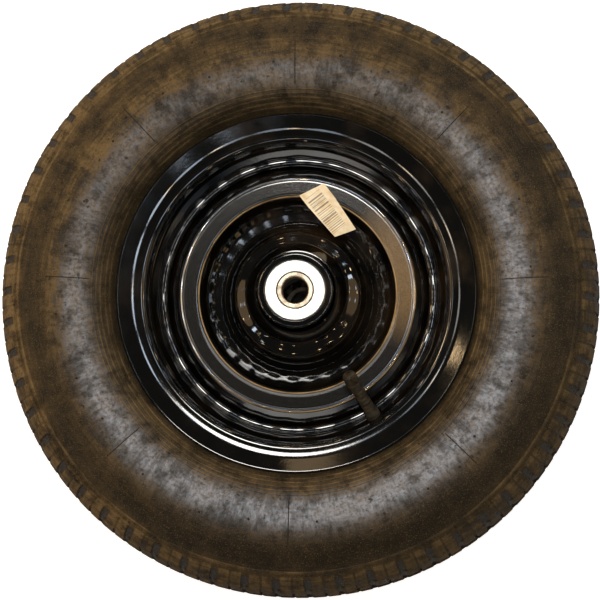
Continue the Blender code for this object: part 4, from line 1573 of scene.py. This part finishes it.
@dataclass
class Valve:
    """Rubber valve stem with its brass insert, core, pin and plastic cap.

    Its outlines have the solids' size. It is shown a little smaller, as the photograph has it.
    """

    origin: tuple[float, float, float] = (0.050236, -0.080395, 0.0171)
    axis: tuple[float, float, float] = (-0.413229, 0.661305, 0.626034)
    shrink: float = 0.93
    segments: int = 64
    flute_band: float = 0.0008
    flute_segments: int = 6
    ridges: int = 6
    ridge_start: float = 0.0090
    ridge_pitch: float = 0.0034
    threads: int = 8
    thread_start: float = 0.0330
    thread_pitch: float = 0.0008
    cap_flutes: int = 24
    cap_flute_depth: float = 0.00035

    def matrix(self) -> Matrix:
        """Place of the valve: its Z runs out of the wheel along the stem."""
        turn = Vector(self.axis).to_track_quat("Z", "Y").to_matrix().to_4x4()
        return Matrix.Translation(self.origin) @ turn @ Matrix.Scale(self.shrink, 4)

    def turned(self, name: str, section: list[Row], closed: bool = True, flutes: int = 0,
               flute_depth: float = 0.0) -> bpy.types.Object:
        """Revolve a section on the valve's axis.

        Args:
            name: Name of the piece.
            section: Outline of radius and height.
            closed: Whether the outline is a closed loop.
            flutes: Number of flutes round the outside.
            flute_depth: Depth of the flutes.

        Returns:
            The piece.
        """
        segments = flutes * self.flute_segments if flutes else self.segments
        bm = lathe([Vector(spot) for spot in section], segments, closed)
        if flutes:
            widest = max(spot[0] for spot in section)
            for vert in bm.verts:
                radius = math.hypot(vert.co.x, vert.co.y)
                if radius > widest - self.flute_band:
                    wave = 0.5 - 0.5 * math.cos(flutes * math.atan2(vert.co.y, vert.co.x))
                    vert.co.xy *= (radius - flute_depth * wave) / radius
        bm.transform(self.matrix())
        return settle(name, bm)

    def build(self) -> None:
        """Build and dress the stem, insert, core, pin and cap."""
        rubber = DustyMoulding("stem_rubber_finish", tint(17, 15, 10), tint(60, 49, 28)).material()
        plastic = DustyMoulding("cap_plastic_finish", tint(15, 13, 9), tint(70, 57, 33), 0.42).material()
        brass = BrightMetal("valve_brass_finish", tint(214, 172, 92), tint(150, 112, 58), 0.26, 2600.0,
                            turned=False).material()
        stem = [
            (0.0017, -0.0125), (0.0067, -0.0125), (0.0070, -0.0122), (0.0070, -0.0108), (0.0067, -0.0105),
            (0.0054, -0.0103), (0.0054, -0.0020), (0.0053, 0.0020), (0.0054, 0.0032), (0.0050, 0.0044),
            (0.0045, 0.0056), (0.0043, 0.0068),
        ]
        for k in range(self.ridges):
            base = self.ridge_start + self.ridge_pitch * k
            stem += [(0.0043, base), (0.00405, base + 0.0004)]
            stem += [(0.00405, base + 0.0010), (0.0043, base + 0.0014)]
        stem += [(0.0043, 0.0314), (0.0040, 0.0320), (0.0029, 0.0320), (0.0029, 0.0140), (0.0017, 0.0140)]
        place(self.turned("valve_rubber_stem", stem), rubber, "wheel", "stem_rubber", "valve_stem")
        insert = [(0.0017, 0.0143), (0.0026, 0.0143), (0.0026, 0.0323), (0.0034, 0.0323), (0.0037, 0.0326)]
        for k in range(self.threads):
            base = self.thread_start + self.thread_pitch * k
            insert += [(0.0038, base), (0.0034, base + 0.0004)]
        insert += [(0.0036, 0.0396), (0.0033, 0.0398), (0.0019, 0.0398), (0.0017, 0.0396)]
        place(self.turned("valve_brass_insert", insert), brass, "wheel", "valve_brass", "valve_insert")
        core = [(0.0008, 0.0333), (0.0014, 0.0333), (0.0014, 0.0386), (0.0012, 0.0388), (0.0008, 0.0388)]
        place(self.turned("valve_brass_core", core), brass, "wheel", "valve_brass", "valve_core")
        pin = [(0.0, 0.0313), (0.0004, 0.0313), (0.0004, 0.0396), (0.0003, 0.0398), (0.0, 0.0398)]
        place(self.turned("valve_core_pin", pin, closed=False), brass, "pin", "valve_brass", "valve_pin")
        cap = [
            (0.0, 0.0421), (0.0030, 0.0421), (0.0038, 0.0419), (0.0043, 0.0414), (0.0046, 0.0407),
            (0.0050, 0.0399), (0.0050, 0.0345), (0.0050, 0.0337), (0.0047, 0.0335), (0.0047, 0.0332),
            (0.0050, 0.0330), (0.0050, 0.0325), (0.0048, 0.0323), (0.0041, 0.0323), (0.0041, 0.0401),
            (0.0, 0.0401),
        ]
        piece = self.turned("valve_dust_cap", cap, closed=False, flutes=self.cap_flutes,
                            flute_depth=self.cap_flute_depth)
        place(piece, plastic, "cap", "cap_plastic", "valve_cap")


@dataclass
class Label:
    """Paper label stuck by one end to the disc's crown, its free end bent down over the valley."""

    length: float = 0.0368
    width: float = 0.0179
    thickness: float = 0.00022
    radius: float = 0.0589
    angle: float = math.radians(69.5)
    turn: float = math.radians(-52.6)
    height: float = 0.02548
    stuck: float = 0.0100
    droop: float = 0.0017
    curl: float = 0.00072
    ripple: float = 0.00018
    ripple_along: float = 620.0
    ripple_across: float = 1.3
    skew: float = 0.20
    end_skew: float = 0.12
    narrowing: float = 0.21
    steps_along: int = 44
    steps_across: int = 18

    def centre(self) -> Vector:
        """Middle of the label."""
        return Vector((self.radius * math.cos(self.angle), self.radius * math.sin(self.angle), self.height))

    def spot(self, along: float, across: float) -> Vector:
        """Place on the label's middle face.

        Args:
            along: Share of the length, 0 at the stuck end.
            across: Share of the width, -1 to 1.

        Returns:
            The place in the wheel's frame.
        """
        run = along * self.length
        free = max(0.0, run - self.stuck) / (self.length - self.stuck)
        sag = -self.droop * free ** 2
        curl = self.curl * free ** 1.5 * across ** 2
        ripple = self.ripple * math.sin(run * self.ripple_along + across * self.ripple_across) * free
        sideways = across * (1.0 - self.narrowing * free) * self.width / 2
        slanted = run - self.length / 2 + sideways * (self.skew + self.end_skew * free)
        flat = Vector((slanted, sideways, sag + curl + ripple))
        return self.centre() + Matrix.Rotation(self.turn, 3, "Z") @ flat

    def build(self) -> None:
        """Build and dress the label."""
        bm = bmesh.new()
        lift = Vector((0.0, 0.0, self.thickness / 2))
        shares = [2 * j / self.steps_across - 1 for j in range(self.steps_across + 1)]
        top, low = [], []
        for grid, way in ((top, 1), (low, -1)):
            for i in range(self.steps_along + 1):
                row = [self.spot(i / self.steps_along, share) + lift * way for share in shares]
                grid.append([bm.verts.new(spot) for spot in row])
        for i in range(self.steps_along):
            for j in range(self.steps_across):
                for grid in (top, low):
                    bm.faces.new((grid[i][j], grid[i + 1][j], grid[i + 1][j + 1], grid[i][j + 1]))
            for j in (0, self.steps_across):
                bm.faces.new((top[i][j], top[i + 1][j], low[i + 1][j], low[i][j]))
        for j in range(self.steps_across):
            for i in (0, self.steps_along):
                bm.faces.new((top[i][j], top[i][j + 1], low[i][j + 1], low[i][j]))
        paper = LabelPaper().material(self.centre(), self.turn, self.length, self.width)
        place(settle("sticker", bm, 50.0), paper, "wheel", "label_paper", "paper_label")


@dataclass(frozen=True)
class SoftLamp:
    """Round soft lamp that looks at the wheel.

    Its turn is counted round Z from X, and its lean from straight above the wheel.
    """

    turn_degrees: float
    lean_degrees: float
    size: float
    brightness: float
    tone: Tone
    distance: float = 2.2

    def hang(self, name: str) -> None:
        """Hang the lamp.

        Args:
            name: Name of the lamp.
        """
        turn, lean = math.radians(self.turn_degrees), math.radians(self.lean_degrees)
        away = Vector((math.cos(turn) * math.sin(lean), math.sin(turn) * math.sin(lean), math.cos(lean)))
        data = bpy.data.lights.new(name, "AREA")
        data.shape, data.size, data.color = "DISK", self.size, self.tone.value
        area = math.pi * self.size ** 2 / 4
        data.energy = self.brightness * math.pi * area
        lamp = bpy.data.objects.new(name, data)
        lamp.location = away * self.distance
        lamp.rotation_mode = "QUATERNION"
        lamp.rotation_quaternion = (-away).to_track_quat("-Z", "Y")
        bpy.context.scene.collection.objects.link(lamp)


@dataclass
class Studio:
    """Pale floor, one broad soft lamp, dimmer lamps round it and plain grey surroundings."""

    floor_height: float = -0.0510
    floor_size: float = 14.0
    sky: float = 0.05
    sky_colour: Colour = (1.0, 0.985, 0.96)
    main: SoftLamp = SoftLamp(91.0, 21.0, 0.62, 20.0, Tone.PLAIN)
    ring_count: int = 16
    ring_lean: float = 22.0
    ring_size: float = 0.27
    ring_brightness: float = 6.0
    ring_side: float = 18.0
    ring_least: float = 0.5
    ring_more: float = 0.9
    ring_plain: Row = (140.0, 230.0)
    panels: tuple[SoftLamp, ...] = (
        SoftLamp(152.0, 45.5, 0.44, 13.0, Tone.WARM),
        SoftLamp(196.0, 41.5, 0.14, 14.0, Tone.WARM),
        SoftLamp(99.0, 45.5, 0.52, 1.5, Tone.WARM),
        SoftLamp(182.0, 58.0, 1.60, 1.0, Tone.BROWN),
        SoftLamp(4.0, 58.0, 1.40, 0.8, Tone.BROWN),
    )
    gold_count: int = 9
    gold_start: float = 0.4
    gold_sway: Sway = Sway(0.2, 2.2)
    gold_lean: float = 22.0
    gold_size: float = 0.10
    gold_brightness: float = 12.0
    cool_turns: tuple[float, ...] = (
        0.0, 13.0, 26.0, 41.0, 55.0, 68.0, 83.0, 98.0, 140.0, 153.0, 168.0, 183.0, 197.0, 211.0, 226.0,
    )
    cool_lean: float = 58.0
    cool_sway: Sway = Sway(4.0, 1.9)
    cool_least: float = 0.75
    cool_more: float = 0.45
    cool_flicker: Sway = Sway(1.0, 2.3)
    cool_size: float = 0.13
    cool_brightness: float = 9.0
    warm_turns: tuple[float, ...] = (
        8.0, 33.0, 52.0, 71.0, 92.0, 108.0, 125.0, 140.0, 197.0, 218.0, 228.0, 247.0, 262.0, 291.0, 305.0,
        318.0, 331.0,
    )
    warm_lean: float = 62.0
    warm_sway: Sway = Sway(9.0, 2.6, 0.5)
    warm_size: float = 0.075
    warm_brightness: float = 40.0

    def lamps(self) -> list[tuple[str, SoftLamp]]:
        """All the lamps with their names."""
        rows = [("main_lamp", self.main)]
        rows += [("panel_lamp_%d" % k, lamp) for k, lamp in enumerate(self.panels)]
        for k in range(self.ring_count):
            turn = 360.0 * k / self.ring_count
            facing = max(0.0, math.cos(math.radians(turn - self.ring_side)))
            bright = self.ring_brightness * (self.ring_least + self.ring_more * facing)
            tone = Tone.PLAIN if self.ring_plain[0] < turn < self.ring_plain[1] else Tone.COOL
            rows.append(("ring_lamp_%02d" % k, SoftLamp(turn, self.ring_lean, self.ring_size, bright, tone)))
        for k in range(self.gold_count):
            turn = 360.0 * (k + self.gold_start + self.gold_sway.at(k)) / self.gold_count
            lamp = SoftLamp(turn, self.gold_lean, self.gold_size, self.gold_brightness, Tone.WARM)
            rows.append(("gold_lamp_%d" % k, lamp))
        for k, turn in enumerate(self.cool_turns):
            lean = self.cool_lean + self.cool_sway.at(k)
            bright = self.cool_brightness * (self.cool_least + self.cool_more * self.cool_flicker.at(k) ** 2)
            rows.append(("cool_lamp_%02d" % k, SoftLamp(turn, lean, self.cool_size, bright, Tone.COOL)))
        for k, turn in enumerate(self.warm_turns):
            lean = self.warm_lean + self.warm_sway.at(k)
            lamp = SoftLamp(turn, lean, self.warm_size, self.warm_brightness, Tone.WARM)
            rows.append(("warm_lamp_%02d" % k, lamp))
        return rows

    def build(self) -> None:
        """Build the floor, the lamps and the surroundings."""
        half = self.floor_size / 2
        bm = bmesh.new()
        corners = [(-half, -half), (half, -half), (half, half), (-half, half)]
        bm.faces.new([bm.verts.new((x, y, self.floor_height)) for x, y in corners])
        floor = settle("floor", bm)
        floor.data.materials.append(PaleFloor().material())
        for name, lamp in self.lamps():
            lamp.hang(name)
        world = bpy.data.worlds.new("surroundings")
        world.use_nodes = True
        sky = world.node_tree.nodes["Background"]
        sky.inputs["Color"].default_value = (*self.sky_colour, 1.0)
        sky.inputs["Strength"].default_value = self.sky
        bpy.context.scene.world = world
        bpy.context.scene.view_settings.view_transform = "Standard"


@dataclass(frozen=True)
class Viewpoint:
    """Camera above the wheel, looking down on its valve side."""

    spot: tuple[float, float, float] = (0.14540, -0.25086, 2.23225)
    lean_x: float = 0.1112
    lean_y: float = 0.0650
    focal_share: float = 5.6147
    sensor: float = 36.0
    nearest: float = 0.1
    farthest: float = 60.0

    def build(self) -> None:
        """Place the camera."""
        data = bpy.data.cameras.new("camera")
        data.sensor_width = self.sensor
        data.lens = self.focal_share * self.sensor
        data.clip_start, data.clip_end = self.nearest, self.farthest
        camera = bpy.data.objects.new("camera", data)
        turn = Matrix.Rotation(self.lean_y, 4, "Y") @ Matrix.Rotation(self.lean_x, 4, "X")
        camera.matrix_world = Matrix.Translation(self.spot) @ turn
        bpy.context.scene.collection.objects.link(camera)
        bpy.context.scene.camera = camera


def main() -> None:
    """Build the wheel's pieces in order, then the studio and the camera."""
    logging.basicConfig(level=logging.INFO, format="%(name)s: %(message)s")
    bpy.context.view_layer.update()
    valve = Valve()
    paint = GlossBlack().material()
    disc_paint = DiscBlack().material()
    Tyre().build()
    Rim().build(paint, valve)
    for side in Side:
        Disc(side).build(disc_paint)
        WeldBead(side).build(paint)
    HubTube().build(paint)
    ring = BrightMetal("bearing_ring_finish", tint(235, 235, 232), tint(205, 203, 198), 0.38).material()
    inner = BrightMetal("bearing_inner_finish", tint(214, 202, 182), tint(172, 156, 132), 0.38).material()
    shield = BrightMetal("bearing_shield_finish", tint(240, 240, 238), tint(214, 214, 212), 0.40,
                         1400.0).material()
    for side in Side:
        Bearing(side).build(ring, inner, shield)
    valve.build()
    Label().build()
    tube_rubber = DustyMoulding("tube_rubber_finish", tint(28, 27, 26), tint(52, 48, 42)).material()
    dress(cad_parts["inner_tube"], tube_rubber)
    Studio().build()
    Viewpoint().build()
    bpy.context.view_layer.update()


if __name__ == "__main__":
    main()
